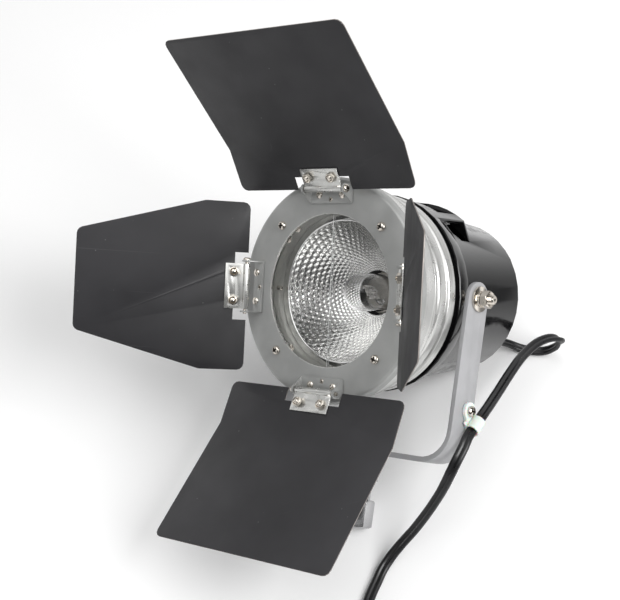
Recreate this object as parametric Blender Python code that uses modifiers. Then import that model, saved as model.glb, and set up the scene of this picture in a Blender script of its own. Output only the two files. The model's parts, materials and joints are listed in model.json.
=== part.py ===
"""Video light with a four-leaf barn door, a yoke with a mounting spigot and a mains cord.

The lamp is drawn in its own frame: x to the right seen from the front, y back along the optical
axis, z up, with the origin at the middle of the barn-door ring's front face.  It is then laid down
on a table, where it rests on the rear rim, the spigot and one arm of the yoke.
"""
import bmesh
import bpy
from math import acos, atan2, asin, ceil, cos, hypot, inf, pi, radians, sin, sqrt, tan
from mathutils import Matrix, Vector

MM = 0.001
NAME = "video_light"

# clearances
GAP = 0.3 * MM
HOLE_GAP = 0.3 * MM

# fineness of round shapes
ROUND_STEPS = 36
SMALL_STEPS = 14
TINY_STEPS = 10
CORNER_STEPS = 3

# seat of the safety glass in the barrel, whose width the round pieces follow
GLASS_SEAT_RADIUS = 51.3 * MM
GLASS_SEAT_AT = 6.2 * MM

# barn-door ring on the front
RING_OPENING_RADIUS = GLASS_SEAT_RADIUS - 3.15 * MM
RING_SCREW_CIRCLE = GLASS_SEAT_RADIUS + 5.7 * MM
HINGE_RADIUS = RING_SCREW_CIRCLE + 6.2 * MM
RING_RADIUS = HINGE_RADIUS + 8.25 * MM
RING_SHEET = 1.5 * MM
RING_RIM_DEPTH = 6.5 * MM
RING_EDGE_RADIUS = 2.5 * MM
RING_SCREW_RADIUS = 1.5 * MM
RING_SCREW_HEAD_RADIUS = 2.95 * MM
RING_SCREW_HEAD_HEIGHT = 2.0 * MM
RING_SCREW_LENGTH = 8.0 * MM
DRILL_REACH = 4.0 * MM

# hinges of the leaves, in a frame with x along the pin, y away from the optical axis, z forward
HINGE_STANDOFF = 7.8 * MM
BRACKET_SHEET = 1.0 * MM
BRACKET_WIDTH = 33.0 * MM
BRACKET_FOOT_FAR = 0.9 * MM
BRACKET_FOOT_NEAR = 8.7 * MM
EAR_TIP_RADIUS = 3.1 * MM
RIVET_SPREAD = 18.6 * MM
RIVET_PLACE = 3.2 * MM
RIVET_RADIUS = 2.5 * MM
RIVET_HEIGHT = 1.0 * MM
BRACKET_HOLE_RADIUS = 1.6 * MM
PIN_RADIUS = 1.2 * MM
PIN_HEAD_RADIUS = 2.6 * MM
PIN_HEAD_HEIGHT = 1.7 * MM
KNUCKLE_RADIUS = 2.3 * MM
KNUCKLE_LENGTH = BRACKET_WIDTH - 3.5 * MM
LEAF_SHEET = 0.8 * MM
LEAF_REACH = 13.7 * MM
LEAF_BOLT_SPREAD = 18.8 * MM
LEAF_BOLT_REACH = 8.3 * MM
LEAF_BOLT_RADIUS = 1.5 * MM
LEAF_BOLT_HEAD_RADIUS = 2.7 * MM
LEAF_BOLT_HEAD_HEIGHT = 1.7 * MM
LEAF_NUT_ACROSS = 5.5 * MM
LEAF_NUT_HEIGHT = 2.4 * MM
LEAF_BOLT_END = 1.0 * MM

# leaves of the barn door
DOOR_SHEET = 0.8 * MM
DOOR_SETBACK = 0.6 * MM
DOOR_BASE = -0.9 * MM
DOOR_CORNER_RADIUS = 4.5 * MM
NOTCH_WIDTH = 44.0 * MM
NOTCH_REACH = 7.8 * MM
TONGUE_WIDTH = 28.0 * MM
TONGUE_REACH = 4.2 * MM
WIDE_DOOR_WIDTH = 2 * HINGE_RADIUS + 14.0 * MM
WIDE_DOOR_REACH = 114.5 * MM
WIDE_DOOR_FOLD_REACH = 28.0 * MM
WIDE_DOOR_FOLD = radians(16.5)
SIDE_DOOR_BASE_WIDTH = 2 * HINGE_RADIUS - 16.8 * MM
SIDE_DOOR_WIDE_WIDTH = SIDE_DOOR_BASE_WIDTH + 0.6 * MM
SIDE_DOOR_WIDE_REACH = 28.5 * MM
SIDE_DOOR_TIP_WIDTH = 65.4 * MM
SIDE_DOOR_REACH = 110.8 * MM

# each leaf: its place round the ring, how far it stands forward of flat open, and its pin's head
LEAVES = {
    "top": (radians(90), radians(30.0), 1),
    "bottom": (radians(270), radians(22.0), -1),
    "left": (radians(180), radians(45.5), -1),
    "right": (radians(0), radians(48.3), 1),
}

# front barrel: outer contour as depth inside the ring's edge and distance behind the ring's face
BARREL_CONTOUR = (
    (2.45, 8.0), (3.25, 20.0), (3.95, 22.8), (6.95, 26.0), (7.45, 36.0), (8.65, 38.0),
    (7.45, 41.0), (8.45, 43.6), (7.15, 46.0), (7.45, 46.7),
)
BARREL_FLANGE = 2.5 * MM
BARREL_WALL = 2.2 * MM
BARREL_WAIST_FROM = 19.5 * MM
BARREL_WAIST_AT = 27.5 * MM
SLEEVE_RADIUS = GLASS_SEAT_RADIUS - 1.3 * MM
SLEEVE_WALL = 1.8 * MM
REFLECTOR_SEAT_AT = 16.7 * MM
REFLECTOR_SEAT_RADIUS = SLEEVE_RADIUS - 3.7 * MM
REFLECTOR_SEAT_SHEET = 1.5 * MM
BOSS_RADIUS = 3.5 * MM
BOSS_END = 13.0 * MM

# glass, clips and optics
GLASS_THICKNESS = 3.0 * MM
GLASS_SPLIT = 0.6 * MM
CLIP_SHEET = 0.4 * MM
CLIP_HALF_WIDTH = 2.4 * MM
CLIP_LENGTH = 5.1 * MM
CLIP_PLACES = {"upper": radians(127), "middle": radians(139), "lower": radians(232)}
REFLECTOR_RADIUS = REFLECTOR_SEAT_RADIUS - 1.8 * MM
REFLECTOR_SHEET = 0.8 * MM
REFLECTOR_FOCUS = 12.0 * MM
REFLECTOR_HOLE_RADIUS = 14.8 * MM
REFLECTOR_LIP = 1.2 * MM
BULB_RADIUS = 12.3 * MM
BULB_TIP_AT = 24.0 * MM
BULB_WALL = 0.8 * MM
BULB_FOOT_AT = 57.0 * MM
BASE_RADIUS = 13.4 * MM
BASE_LENGTH = 10.0 * MM
PINCH_GAP = 2.0 * MM
PINCH_LENGTH = 6.0 * MM
POST_RADIUS = 0.9 * MM
POST_ASIDE = 4.5 * MM
FILAMENT_AT = 35.0 * MM
FILAMENT_RADIUS = 1.7 * MM
FILAMENT_LENGTH = 12.0 * MM
SOCKET_RADIUS = 17.0 * MM
SOCKET_LENGTH = 18.0 * MM
BRIDGE_WIDTH = 20.0 * MM
BRIDGE_SHEET = 1.5 * MM
BRIDGE_LEG = 14.0 * MM
SIDE_SCREW_AT = 10.5 * MM
SIDE_SCREW_RADIUS = 1.5 * MM
SIDE_SCREW_INWARD = 3.5 * MM
SIDE_SCREW_HEAD = 1.8 * MM

# collar and housing
COLLAR_RADIUS = RING_RADIUS - 10.45 * MM
COLLAR_WALL = 1.5 * MM
COLLAR_FRONT = 38.0 * MM
COLLAR_REAR = 58.0 * MM
HOUSING_FRONT = 52.2 * MM
FLANGE_FRONT_RADIUS = COLLAR_RADIUS + 3.8 * MM
FLANGE_REAR_RADIUS = COLLAR_RADIUS + 0.9 * MM
FLANGE_REAR = 65.5 * MM
CONE_FRONT = 66.0 * MM
CONE_FRONT_RADIUS = COLLAR_RADIUS - 1.9 * MM
HOUSING_REAR = 142.4 * MM
CONE_REAR_RADIUS = CONE_FRONT_RADIUS - 7.4 * MM
REAR_EDGE = 0.6 * MM
HOUSING_WALL = 1.5 * MM
HOOD_RADIUS = CONE_FRONT_RADIUS + 3.2 * MM
HOOD_HALF_ANGLE = radians(36)
HOOD_FRONT = 58.0 * MM
HOOD_REAR = 93.6 * MM
HOOD_FOOT_RADIUS = CONE_FRONT_RADIUS - 4.25 * MM
HOOD_FOOT_ANGLE = radians(36.35)
HOOD_WALL = 1.5 * MM
HOOD_ROOT = 20.0 * MM
HOOD_ROOT_INSET = 12.0 * MM
WINDOW_FRAME = 1.3 * MM
SIDE_WINDOW_TOP_FRONT = 68.0 * MM
SIDE_WINDOW_FOOT_FRONT = 79.5 * MM
SIDE_WINDOW_HEIGHT = 14.6 * MM
TOP_WINDOW_FROM = radians(61)
TOP_WINDOW_TO = radians(86)
TOP_WINDOW_FRONT = 72.0 * MM
REAR_CAP_SHEET = 1.2 * MM
REAR_CAP_INSET = 1.2 * MM
REAR_CAP_LIP = 8.0 * MM
REAR_SLOT_LENGTH = 46.0 * MM
REAR_SLOT_WIDTH = 3.4 * MM
REAR_SLOT_PITCH = 8.0 * MM
REAR_SLOTS = 4
REAR_SLOT_MARGIN = 6.0 * MM
REAR_LUG_CIRCLE = CONE_REAR_RADIUS - 4.0 * MM
REAR_LUG_ANGLE = radians(37)
REAR_LUG_SHEET = 2.4 * MM
REAR_LUG_WIDTH = 6.0 * MM
REAR_LUG_OUT = 6.3 * MM

# yoke, hung on two studs through the housing, and its lean towards the front
PIVOT_AT = 64.9 * MM
PIVOT_HEIGHT = -0.8 * MM
YOKE_LEAN = radians(8.4)
YOKE_BAR_WIDTH = 21.6 * MM
YOKE_BAR = 3.2 * MM
YOKE_CLEARANCE = 2.1 * MM
YOKE_WIDTH = 2 * (FLANGE_FRONT_RADIUS + YOKE_CLEARANCE + YOKE_BAR)
YOKE_DROP = 106.0 * MM
YOKE_BEND_RADIUS = 22.0 * MM
STUD_RADIUS = 3.0 * MM
STUD_LENGTH = YOKE_WIDTH / 2 + 11.9 * MM
STUD_HEAD_RADIUS = 5.0 * MM
STUD_HEAD_HEIGHT = 3.6 * MM
SHOULDER_RADIUS = 5.5 * MM
SHOULDER_FROM = FLANGE_FRONT_RADIUS - 1.1 * MM
WASHER_RADIUS = 8.3 * MM
WASHER_HEIGHT = 1.4 * MM
SPRING_WASHER_RADIUS = 5.3 * MM
SPRING_WASHER_HEIGHT = 1.7 * MM
TILT_NUT_ACROSS = 10.0 * MM
TILT_NUT_HEIGHT = 5.2 * MM

# spigot under the yoke
SPIGOT_COLLAR_RADIUS = 7.0 * MM
SPIGOT_COLLAR_HEIGHT = 0.6 * MM
SPIGOT_ACROSS = 16.0 * MM
SPIGOT_UPPER = 17.2 * MM
SPIGOT_NECK_RADIUS = 5.85 * MM
SPIGOT_NECK = 12.0 * MM
SPIGOT_LOWER = 18.0 * MM
SPIGOT_CHAMFER = 1.0 * MM
SPIGOT_BOLT_RADIUS = 4.0 * MM
SPIGOT_BOLT_DEPTH = 13.0 * MM
SPIGOT_BOLT_ACROSS = 13.0 * MM
SPIGOT_BOLT_HEAD = 5.3 * MM

# cord clip on the right arm: its screw along and across the arm, and the loop round the cord
CLIP_SCREW_DOWN = 70.4 * MM
CLIP_SCREW_ACROSS = 3.4 * MM
CLIP_SCREW_RADIUS = 2.0 * MM
CLIP_SCREW_HEAD_RADIUS = 3.6 * MM
CLIP_SCREW_HEAD_HEIGHT = 2.4 * MM
CLIP_TAB_RADIUS = 5.6 * MM
CLIP_TAB_SHEET = 2.2 * MM
CLIP_STRAP = 1.1 * MM
CLIP_STRAP_WIDTH = 9.5 * MM
CLIP_LOOP_ASIDE = 8.5 * MM
CLIP_LOOP_ALONG = -3.8 * MM
CLIP_AXIS_TURN = radians(138.2)

# strain relief of the cord in the rear cap
GLAND_CIRCLE = CONE_REAR_RADIUS - 14.1 * MM
GLAND_ANGLE = radians(-54.2)
GLAND_RADIUS = 5.0 * MM
GLAND_FLANGE_RADIUS = 7.4 * MM
GLAND_FLANGE = 1.8 * MM
GLAND_ROOT_RADIUS = 6.2 * MM
GLAND_NOSE_WALL = 0.8 * MM
GLAND_OUT = 16.0 * MM
GLAND_IN = 6.0 * MM

# mains cord: its thickness, and its route from the gland's mouth and on both sides of the clip
CORD_PIECES = ("cord_gland", "cord_lead", "cord_tail", "cord_coil", "plug")
CORD_RADIUS = 3.3 * MM
ROUTE_FROM_GLAND = (
    (12.7, 5.8, -11.0), (21.1, 5.0, -14.7), (30.3, 2.8, -15.6), (38.7, 1.6, -14.8),
    (44.9, 0.4, -10.6), (48.0, -1.4, -3.4), (46.6, -4.1, 5.0), (40.5, -7.6, 11.8),
)
ROUTE_TO_CLIP = (
    (54.8, 93.0, -38.2), (46.8, 85.2, -35.0), (37.6, 72.2, -29.8), (28.1, 54.8, -22.8),
    (18.9, 36.1, -14.6), (11.0, 19.9, -6.8),
)
ROUTE_FROM_CLIP = (
    (-8.5, -15.3, -0.1), (-13.1, -22.8, -3.4), (-17.4, -28.2, -10.6), (-21.8, -32.0, -21.0),
    (-26.7, -34.5, -32.5), (-32.8, -37.8, -43.8), (-40.4, -42.3, -54.4), (-49.0, -47.9, -62.8),
    (-57.2, -55.6, -68.0), (-63.7, -66.0, -70.1), (-73.2, -92.7, -70.4),
)
CORD_STEP = 7.0 * MM
CORD_FLOOR = 3.4 * MM
COIL_ASIDE = (-128.7, -154.7)
COIL_LOOPS = 8
COIL_STEPS = 24
COIL_MIDDLE_RADIUS = 39.0 * MM
COIL_PITCH = 7.4 * MM
COIL_RISE = 7.2 * MM
COIL_FALL = (0.0, 0.1, 0.3, 0.6, 0.85, 1.0, 1.0)
COIL_FALL_STEP = 10.0 * MM
PLUG_LENGTH = 30.0 * MM
PLUG_WIDTH = 24.0 * MM
PLUG_HEIGHT = 15.0 * MM
PLUG_NECK_RADIUS = 4.6 * MM
PLUG_NECK = 12.0 * MM
PLUG_CORNER_RADIUS = 8.0 * MM
BLADE_LENGTH = 17.0 * MM
BLADE_WIDTH = 6.3 * MM
BLADE_SHEET = 1.5 * MM
BLADE_SPREAD = 12.7 * MM

# direction to the right in the photographed view, in the lamp's frame
VIEW_RIGHT = Vector((0.7567, 0.6519, 0.0492))

# materials: colour, roughness and metallic value
LOOKS = {
    "grey_paint": ((0.36, 0.37, 0.36, 1), 0.45, 0.3),
    "satin_alloy": ((0.62, 0.62, 0.60, 1), 0.38, 0.6),
    "black_sheet": ((0.028, 0.028, 0.031, 1), 0.5, 0.0),
    "gloss_black": ((0.008, 0.008, 0.010, 1), 0.12, 0.0),
    "matt_black": ((0.012, 0.012, 0.012, 1), 0.7, 0.0),
    "nickel": ((0.72, 0.68, 0.62, 1), 0.25, 1.0),
    "turned_alloy": ((0.75, 0.75, 0.76, 1), 0.25, 1.0),
    "mirror": ((0.86, 0.86, 0.85, 1), 0.08, 1.0),
    "glass": ((0.9, 0.93, 0.93, 1), 0.03, 0.0),
    "ceramic": ((0.80, 0.77, 0.70, 1), 0.6, 0.0),
    "nylon": ((0.78, 0.84, 0.82, 1), 0.4, 0.0),
    "cord_black": ((0.015, 0.015, 0.016, 1), 0.4, 0.0),
}


# frames
def turn(angle, axis):
    """Rotation about one of the axes."""
    return Matrix.Rotation(angle, 4, axis)


def shift(x=0.0, y=0.0, z=0.0):
    """Translation."""
    return Matrix.Translation((x, y, z))


def yoke_frame():
    """Frame of the yoke: origin on the tilt axis, x to the right, z up along the arms."""
    return shift(0, PIVOT_AT, PIVOT_HEIGHT) @ turn(-YOKE_LEAN, "X")


def hinge_frame(place):
    """Frame of a hinge: x along the pin, y away from the optical axis, z forward."""
    outward = Vector((cos(place), 0, sin(place)))
    forward = Vector((0, -1, 0))
    along = outward.cross(forward)
    frame = Matrix((along, outward, forward)).transposed().to_4x4()
    frame.translation = outward * HINGE_RADIUS + forward * HINGE_STANDOFF
    return frame


def spigot_length():
    """Length of the spigot from its collar to its tip."""
    return SPIGOT_COLLAR_HEIGHT + SPIGOT_UPPER + SPIGOT_NECK + SPIGOT_LOWER


def lowest(frame, points, up):
    """The one of some points in a frame that lies lowest along the direction up."""
    return min((frame @ Vector(point) for point in points), key=lambda point: point.dot(up))


def resting_points(up):
    """The three points that touch the table when up points away from it."""
    yoke = yoke_frame()
    rim = [(x, HOUSING_REAR, z) for x, z in circle(0, 0, CONE_REAR_RADIUS - REAR_EDGE, 360)]
    tip = -YOKE_DROP - GAP - spigot_length()
    across = SPIGOT_ACROSS / 2
    end = [(y, x, tip + chamfer_height(SPIGOT_ACROSS, SPIGOT_CHAMFER, across * 2 / sqrt(3)))
           for x, y in circle(0, 0, across * 2 / sqrt(3), 6)]
    end += [(x, y, tip + chamfer_height(SPIGOT_ACROSS, SPIGOT_CHAMFER, across))
            for x, y in circle(0, 0, across, 6)]
    bend = circle(-YOKE_WIDTH / 2 + YOKE_BEND_RADIUS, -YOKE_DROP + YOKE_BEND_RADIUS,
                  YOKE_BEND_RADIUS, 360)
    bend = [(x, YOKE_BAR_WIDTH / 2, z) for x, z in bend]
    return lowest(Matrix.Identity(4), rim, up), lowest(yoke, end, up), lowest(yoke, bend, up)


def resting_frame():
    """Frame of the lamp as it lies on the table, with the photographed side turned to the front."""
    up = Vector((0.43, -0.64, 0.63)).normalized()
    for _ in range(60):
        rim, tip, bend = resting_points(up)
        up = (tip - rim).cross(bend - rim).normalized()
        if up.z < 0:
            up.negate()
    lift = -sum(up.dot(point) for point in resting_points(up)) / 3
    right = VIEW_RIGHT - up * VIEW_RIGHT.dot(up)
    right.normalize()
    frame = Matrix((right, up.cross(right), up)).to_4x4()
    return shift(z=lift) @ frame


ALONG_AXIS = turn(radians(-90), "X")
FORWARD = turn(radians(90), "X")
TO_RIGHT = turn(radians(90), "Y")
TO_LEFT = turn(radians(-90), "Y")


# scene and materials
def clear_scene():
    """Removes what the file opened with."""
    for item in list(bpy.data.objects):
        bpy.data.objects.remove(item, do_unlink=True)


def new_collection(name):
    """Adds a collection to the scene."""
    group = bpy.data.collections.new(name)
    bpy.context.scene.collection.children.link(group)
    return group


def look(name):
    """Material of one kind, made once."""
    found = bpy.data.materials.get(name)
    if found:
        return found
    colour, roughness, metallic = LOOKS[name]
    made = bpy.data.materials.new(name)
    made.use_nodes = True
    shader = made.node_tree.nodes["Principled BSDF"]
    shader.inputs["Base Color"].default_value = colour
    shader.inputs["Roughness"].default_value = roughness
    shader.inputs["Metallic"].default_value = metallic
    made.diffuse_color = colour
    return made


def add(name, data, frame, finish=None):
    """Adds an object in the lamp's frame; with a finish it is a part, without one a cutter."""
    item = bpy.data.objects.new(name, data)
    (parts if finish else cutters).objects.link(item)
    item.parent = root
    item.matrix_local = frame
    if finish:
        item.data.materials.clear()
        item.data.materials.append(look(finish))
    else:
        item.display_type = "WIRE"
        item.hide_render = True
    return item


def remove(item):
    """Removes an object that only served to make another."""
    bpy.data.objects.remove(item, do_unlink=True)


# shapes
def smooth(mesh, angle=radians(35)):
    """Shades a mesh smooth, with sharp edges above an angle."""
    mesh.shade_smooth()
    mesh.set_sharp_from_angle(angle=angle)
    return mesh


def evaluated_mesh(item, name):
    """Mesh of an object with its modifiers applied, its loose caps welded."""
    bpy.context.view_layer.update()
    graph = bpy.context.evaluated_depsgraph_get()
    mesh = bpy.data.meshes.new_from_object(item.evaluated_get(graph), depsgraph=graph)
    mesh.name = name
    work = bmesh.new()
    work.from_mesh(mesh)
    bmesh.ops.remove_doubles(work, verts=work.verts, dist=1e-6)
    work.to_mesh(mesh)
    work.free()
    return mesh


def baked(name, data, build):
    """Mesh from data after build has put modifiers on a helper object that carries it."""
    item = add(name + "_work", data, Matrix.Identity(4))
    helpers = build(item) or []
    mesh = evaluated_mesh(item, name)
    for helper in [item, *helpers]:
        remove(helper)
    return smooth(mesh)


def turned_mesh(name, profile, closed=False, steps=ROUND_STEPS):
    """Solid turned about z from points of radius and height, down the outer side."""
    mesh = bpy.data.meshes.new(name)
    edges = [(i, i + 1) for i in range(len(profile) - 1)]
    if closed:
        edges.append((len(profile) - 1, 0))
    mesh.from_pydata([(r, 0, z) for r, z in profile], edges, [])

    def spin(item):
        screw = item.modifiers.new("Turn", "SCREW")
        screw.axis = "Z"
        screw.steps = steps
        screw.render_steps = steps
        screw.use_merge_vertices = True
        screw.merge_threshold = 1e-5

    return baked(name, mesh, spin)


def flat_curve(name, loops, thickness=0.0):
    """2D curve filled inside its first loop and open inside the others."""
    curve = bpy.data.curves.new(name, "CURVE")
    curve.dimensions = "2D"
    curve.fill_mode = "BOTH"
    curve.extrude = thickness / 2
    for loop in loops:
        spline = curve.splines.new("POLY")
        spline.points.add(len(loop) - 1)
        for point, (x, y) in zip(spline.points, loop):
            point.co = (x, y, 0, 1)
        spline.use_cyclic_u = True
    return curve


def plate_mesh(name, loops, thickness):
    """Plate in the xy plane, half its thickness on each side."""
    return baked(name, flat_curve(name, loops, thickness), lambda item: None)


def folded_mesh(name, loops, folds, thickness):
    """Sheet cut to an outline, folded along lines and thickened to both sides."""
    flat = baked(name, flat_curve(name, loops), lambda item: None)
    work = bmesh.new()
    work.from_mesh(flat)
    bmesh.ops.dissolve_limit(work, angle_limit=0.01, verts=work.verts, edges=work.edges)
    for point, side, axis, angle in folds:
        point = Vector(point)
        side = Vector(side)
        everything = work.verts[:] + work.edges[:] + work.faces[:]
        bmesh.ops.bisect_plane(work, geom=everything, dist=1e-6, plane_co=point, plane_no=side)
        beyond = [v for v in work.verts if (v.co - point).dot(side) > 1e-6]
        bmesh.ops.rotate(work, cent=point, matrix=Matrix.Rotation(angle, 3, axis), verts=beyond)
    work.to_mesh(flat)
    work.free()
    return baked(name, flat, lambda item: thicken(item, thickness))


def thicken(item, thickness):
    """Solidify to both sides of the sheet."""
    solid = item.modifiers.new("Sheet", "SOLIDIFY")
    solid.thickness = thickness
    solid.offset = 0
    solid.use_even_offset = True


def ribbon_mesh(name, path, width, thickness):
    """Strip bent along a path in the yz plane and spread along x."""
    mesh = bpy.data.meshes.new(name)
    work = bmesh.new()
    rows = [[work.verts.new((side * width / 2, y, z)) for y, z in path] for side in (-1, 1)]
    for i in range(len(path) - 1):
        work.faces.new((rows[0][i], rows[1][i], rows[1][i + 1], rows[0][i + 1]))
    work.to_mesh(mesh)
    work.free()
    return baked(name, mesh, lambda item: thicken(item, thickness))


def cylinder_mesh(name, radius, height, steps=SMALL_STEPS, radius_top=None):
    """Cylinder or cone that stands on the xy plane."""
    mesh = bpy.data.meshes.new(name)
    work = bmesh.new()
    top = radius if radius_top is None else radius_top
    bmesh.ops.create_cone(work, cap_ends=True, segments=steps, radius1=radius, radius2=top,
                          depth=height, matrix=shift(z=height / 2))
    work.to_mesh(mesh)
    work.free()
    return smooth(mesh)


def box_mesh(name, size, centre=(0, 0, 0)):
    """Box of a size round a centre."""
    mesh = bpy.data.meshes.new(name)
    work = bmesh.new()
    place = Matrix.Translation(centre) @ Matrix.Diagonal((*size, 1))
    bmesh.ops.create_cube(work, size=1, matrix=place)
    work.to_mesh(mesh)
    work.free()
    return mesh


def boolean(item, other, operation="DIFFERENCE"):
    """Adds an exact Boolean with another object."""
    step = item.modifiers.new(operation.title(), "BOOLEAN")
    step.operation = operation
    step.solver = "EXACT"
    step.object = other
    return other


def combined(name, data, others):
    """Mesh of data after Booleans with others, given as mesh, frame and operation."""
    def build(item):
        return [boolean(item, add(name + "_tool", mesh, frame), operation)
                for mesh, frame, operation in others]
    return baked(name, data, build)


def cut(item, name, mesh, frame):
    """Cuts a live object with a kept cutter."""
    return boolean(item, add(name, mesh, frame))


def chamfer_edges(across, chamfer):
    """Radius at which the chamfer of a hexagonal piece starts, and one just outside its corners."""
    return across / 2 - chamfer / 4, across / sqrt(3) * 1.02


def chamfer_height(across, chamfer, radius):
    """Height over the end face of a hexagonal piece at which its chamfer has a radius."""
    inner, outer = chamfer_edges(across, chamfer)
    return chamfer * (radius - inner) / (outer - inner)


def hex_mesh(name, across, height, chamfer):
    """Hexagonal piece that stands on the xy plane, chamfered at both ends."""
    prism = cylinder_mesh(name, across / sqrt(3), height, steps=6)
    inner, outer = chamfer_edges(across, chamfer)
    slope = [(0, height), (inner, height), (outer, height - chamfer),
             (outer, chamfer), (inner, 0), (0, 0)]
    tool = turned_mesh(name + "_chamfer", slope, steps=18)
    return combined(name, prism, [(tool, Matrix.Identity(4), "INTERSECT")])


def arc(cx, cy, radius, start, end, steps):
    """Points of an arc, both ends included."""
    return [(cx + radius * cos(start + (end - start) * i / steps),
             cy + radius * sin(start + (end - start) * i / steps)) for i in range(steps + 1)]


def circle(cx, cy, radius, steps=SMALL_STEPS):
    """Closed loop of points round a circle."""
    return arc(cx, cy, radius, 0, 2 * pi * (steps - 1) / steps, steps - 1)


def rounded(points, radius):
    """Outline with its corners rounded; a corner with radius 0 stays sharp."""
    result = []
    count = len(points)
    for i, corner in enumerate(points):
        here = Vector(corner)
        size = radius[i] if isinstance(radius, (list, tuple)) else radius
        before = (Vector(points[i - 1]) - here).normalized()
        after = (Vector(points[(i + 1) % count]) - here).normalized()
        if size <= 0:
            result.append(tuple(here))
            continue
        half = before.angle(after) / 2
        start = here + before * (size / tan(half))
        end = here + after * (size / tan(half))
        centre = here + (before + after).normalized() * (size / sin(half))
        first = atan2(start.y - centre.y, start.x - centre.x)
        swing = atan2(end.y - centre.y, end.x - centre.x) - first
        swing = (swing + pi) % (2 * pi) - pi
        result += arc(centre.x, centre.y, size, first, first + swing, CORNER_STEPS)
    return result


# barn door
def pan_head(radius, height, seat):
    """Profile of a pan head above its seat, from the top down."""
    return [(0, seat + height), (radius * 0.72, seat + height * 0.88),
            (radius, seat + height * 0.35), (radius, seat)]


def make_ring():
    """Ring with a turned-back rim; the screw holes pass through it."""
    edge = RING_EDGE_RADIUS
    corner = arc(RING_RADIUS - edge, edge, edge, 0, -pi / 2, CORNER_STEPS)
    inner = arc(RING_RADIUS - edge, edge, edge - RING_SHEET, -pi / 2, 0, 2)
    profile = [(RING_RADIUS, RING_RIM_DEPTH)] + corner
    profile += [(RING_OPENING_RADIUS, 0), (RING_OPENING_RADIUS, RING_SHEET)] + inner
    profile += [(RING_RADIUS - RING_SHEET, RING_RIM_DEPTH)]
    ring = add("front_ring", turned_mesh("front_ring", profile, closed=True), rest @ ALONG_AXIS,
               "grey_paint")
    for number, place in enumerate(screw_places()):
        drill = cylinder_mesh("ring_drill", RING_SCREW_RADIUS + HOLE_GAP, 2 * DRILL_REACH, TINY_STEPS)
        cut(ring, f"ring_drill_{number + 1}", drill, place @ shift(z=-DRILL_REACH))


def screw_places():
    """Frames of the ring screws, z forward, on the ring's face."""
    return [rest @ turn(-radians(45 + 90 * i), "Y") @ shift(x=RING_SCREW_CIRCLE) @ FORWARD
            for i in range(4)]


def make_ring_screws():
    """Pan-head screws that hold the ring on the barrel."""
    seat = GAP
    profile = pan_head(RING_SCREW_HEAD_RADIUS, RING_SCREW_HEAD_HEIGHT, seat)
    profile += [(RING_SCREW_RADIUS, seat), (RING_SCREW_RADIUS, seat - RING_SCREW_LENGTH),
                (0, seat - RING_SCREW_LENGTH)]
    mesh = turned_mesh("ring_screw", profile, steps=SMALL_STEPS)
    for number, place in enumerate(screw_places()):
        add(f"ring_screw_{number + 1}", mesh, place, "nickel")


def bracket_mesh():
    """Sheet with two ears folded up to carry the pin, and two rivet heads."""
    half = BRACKET_WIDTH / 2
    seat = -HINGE_STANDOFF + GAP + BRACKET_SHEET / 2
    rise = -seat
    tip = half + rise
    lean = asin(EAR_TIP_RADIUS / hypot(rise, BRACKET_FOOT_NEAR))
    slope = atan2(BRACKET_FOOT_NEAR, rise) - lean
    round_end = arc(tip, 0, EAR_TIP_RADIUS, -pi / 2 + slope, pi / 2, 6)
    outline = [(half, -BRACKET_FOOT_FAR), (half + EAR_TIP_RADIUS, EAR_TIP_RADIUS)]
    outline += round_end[::-1]
    outline += [(half, -BRACKET_FOOT_NEAR), (-half, -BRACKET_FOOT_NEAR)]
    outline += [(-x, y) for x, y in round_end]
    outline += [(-half - EAR_TIP_RADIUS, EAR_TIP_RADIUS), (-half, -BRACKET_FOOT_FAR)]
    holes = [circle(s * tip, 0, PIN_RADIUS + HOLE_GAP, TINY_STEPS) for s in (1, -1)]
    middle = RING_SCREW_CIRCLE - HINGE_RADIUS
    holes.append(circle(0, middle, BRACKET_HOLE_RADIUS, TINY_STEPS))
    folds = [((half, 0, 0), (1, 0, 0), "Y", radians(-90)), ((-half, 0, 0), (-1, 0, 0), "Y", radians(90))]
    sheet = folded_mesh("hinge_bracket", [outline, *holes], folds, BRACKET_SHEET)
    sheet.transform(shift(z=seat))
    rivet = turned_mesh("rivet", pan_head(RIVET_RADIUS, RIVET_HEIGHT, 0) + [(0, 0)], steps=TINY_STEPS)
    top = seat + BRACKET_SHEET / 2 - 0.05 * MM
    tools = [(rivet, shift(s * RIVET_SPREAD / 2, -RIVET_PLACE, top), "UNION") for s in (1, -1)]
    return combined("hinge_bracket", sheet, tools)


def pin_mesh():
    """Hinge pin with a pan head at +x and a peened end, along x."""
    outer = BRACKET_WIDTH / 2 + BRACKET_SHEET / 2 + GAP
    profile = pan_head(PIN_HEAD_RADIUS, PIN_HEAD_HEIGHT, outer)
    profile += [(PIN_RADIUS, outer), (PIN_RADIUS, -outer), (PIN_RADIUS * 1.35, -outer),
                (PIN_RADIUS * 1.2, -outer - 0.6 * MM), (0, -outer - 0.8 * MM)]
    mesh = turned_mesh("hinge_pin", profile, steps=TINY_STEPS)
    mesh.transform(TO_RIGHT)
    return mesh


def leaf_seat():
    """Height of the hinge leaf's middle over the pin, on the front of the door's sheet."""
    return -DOOR_SETBACK + DOOR_SHEET / 2 + GAP + LEAF_SHEET / 2


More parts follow.
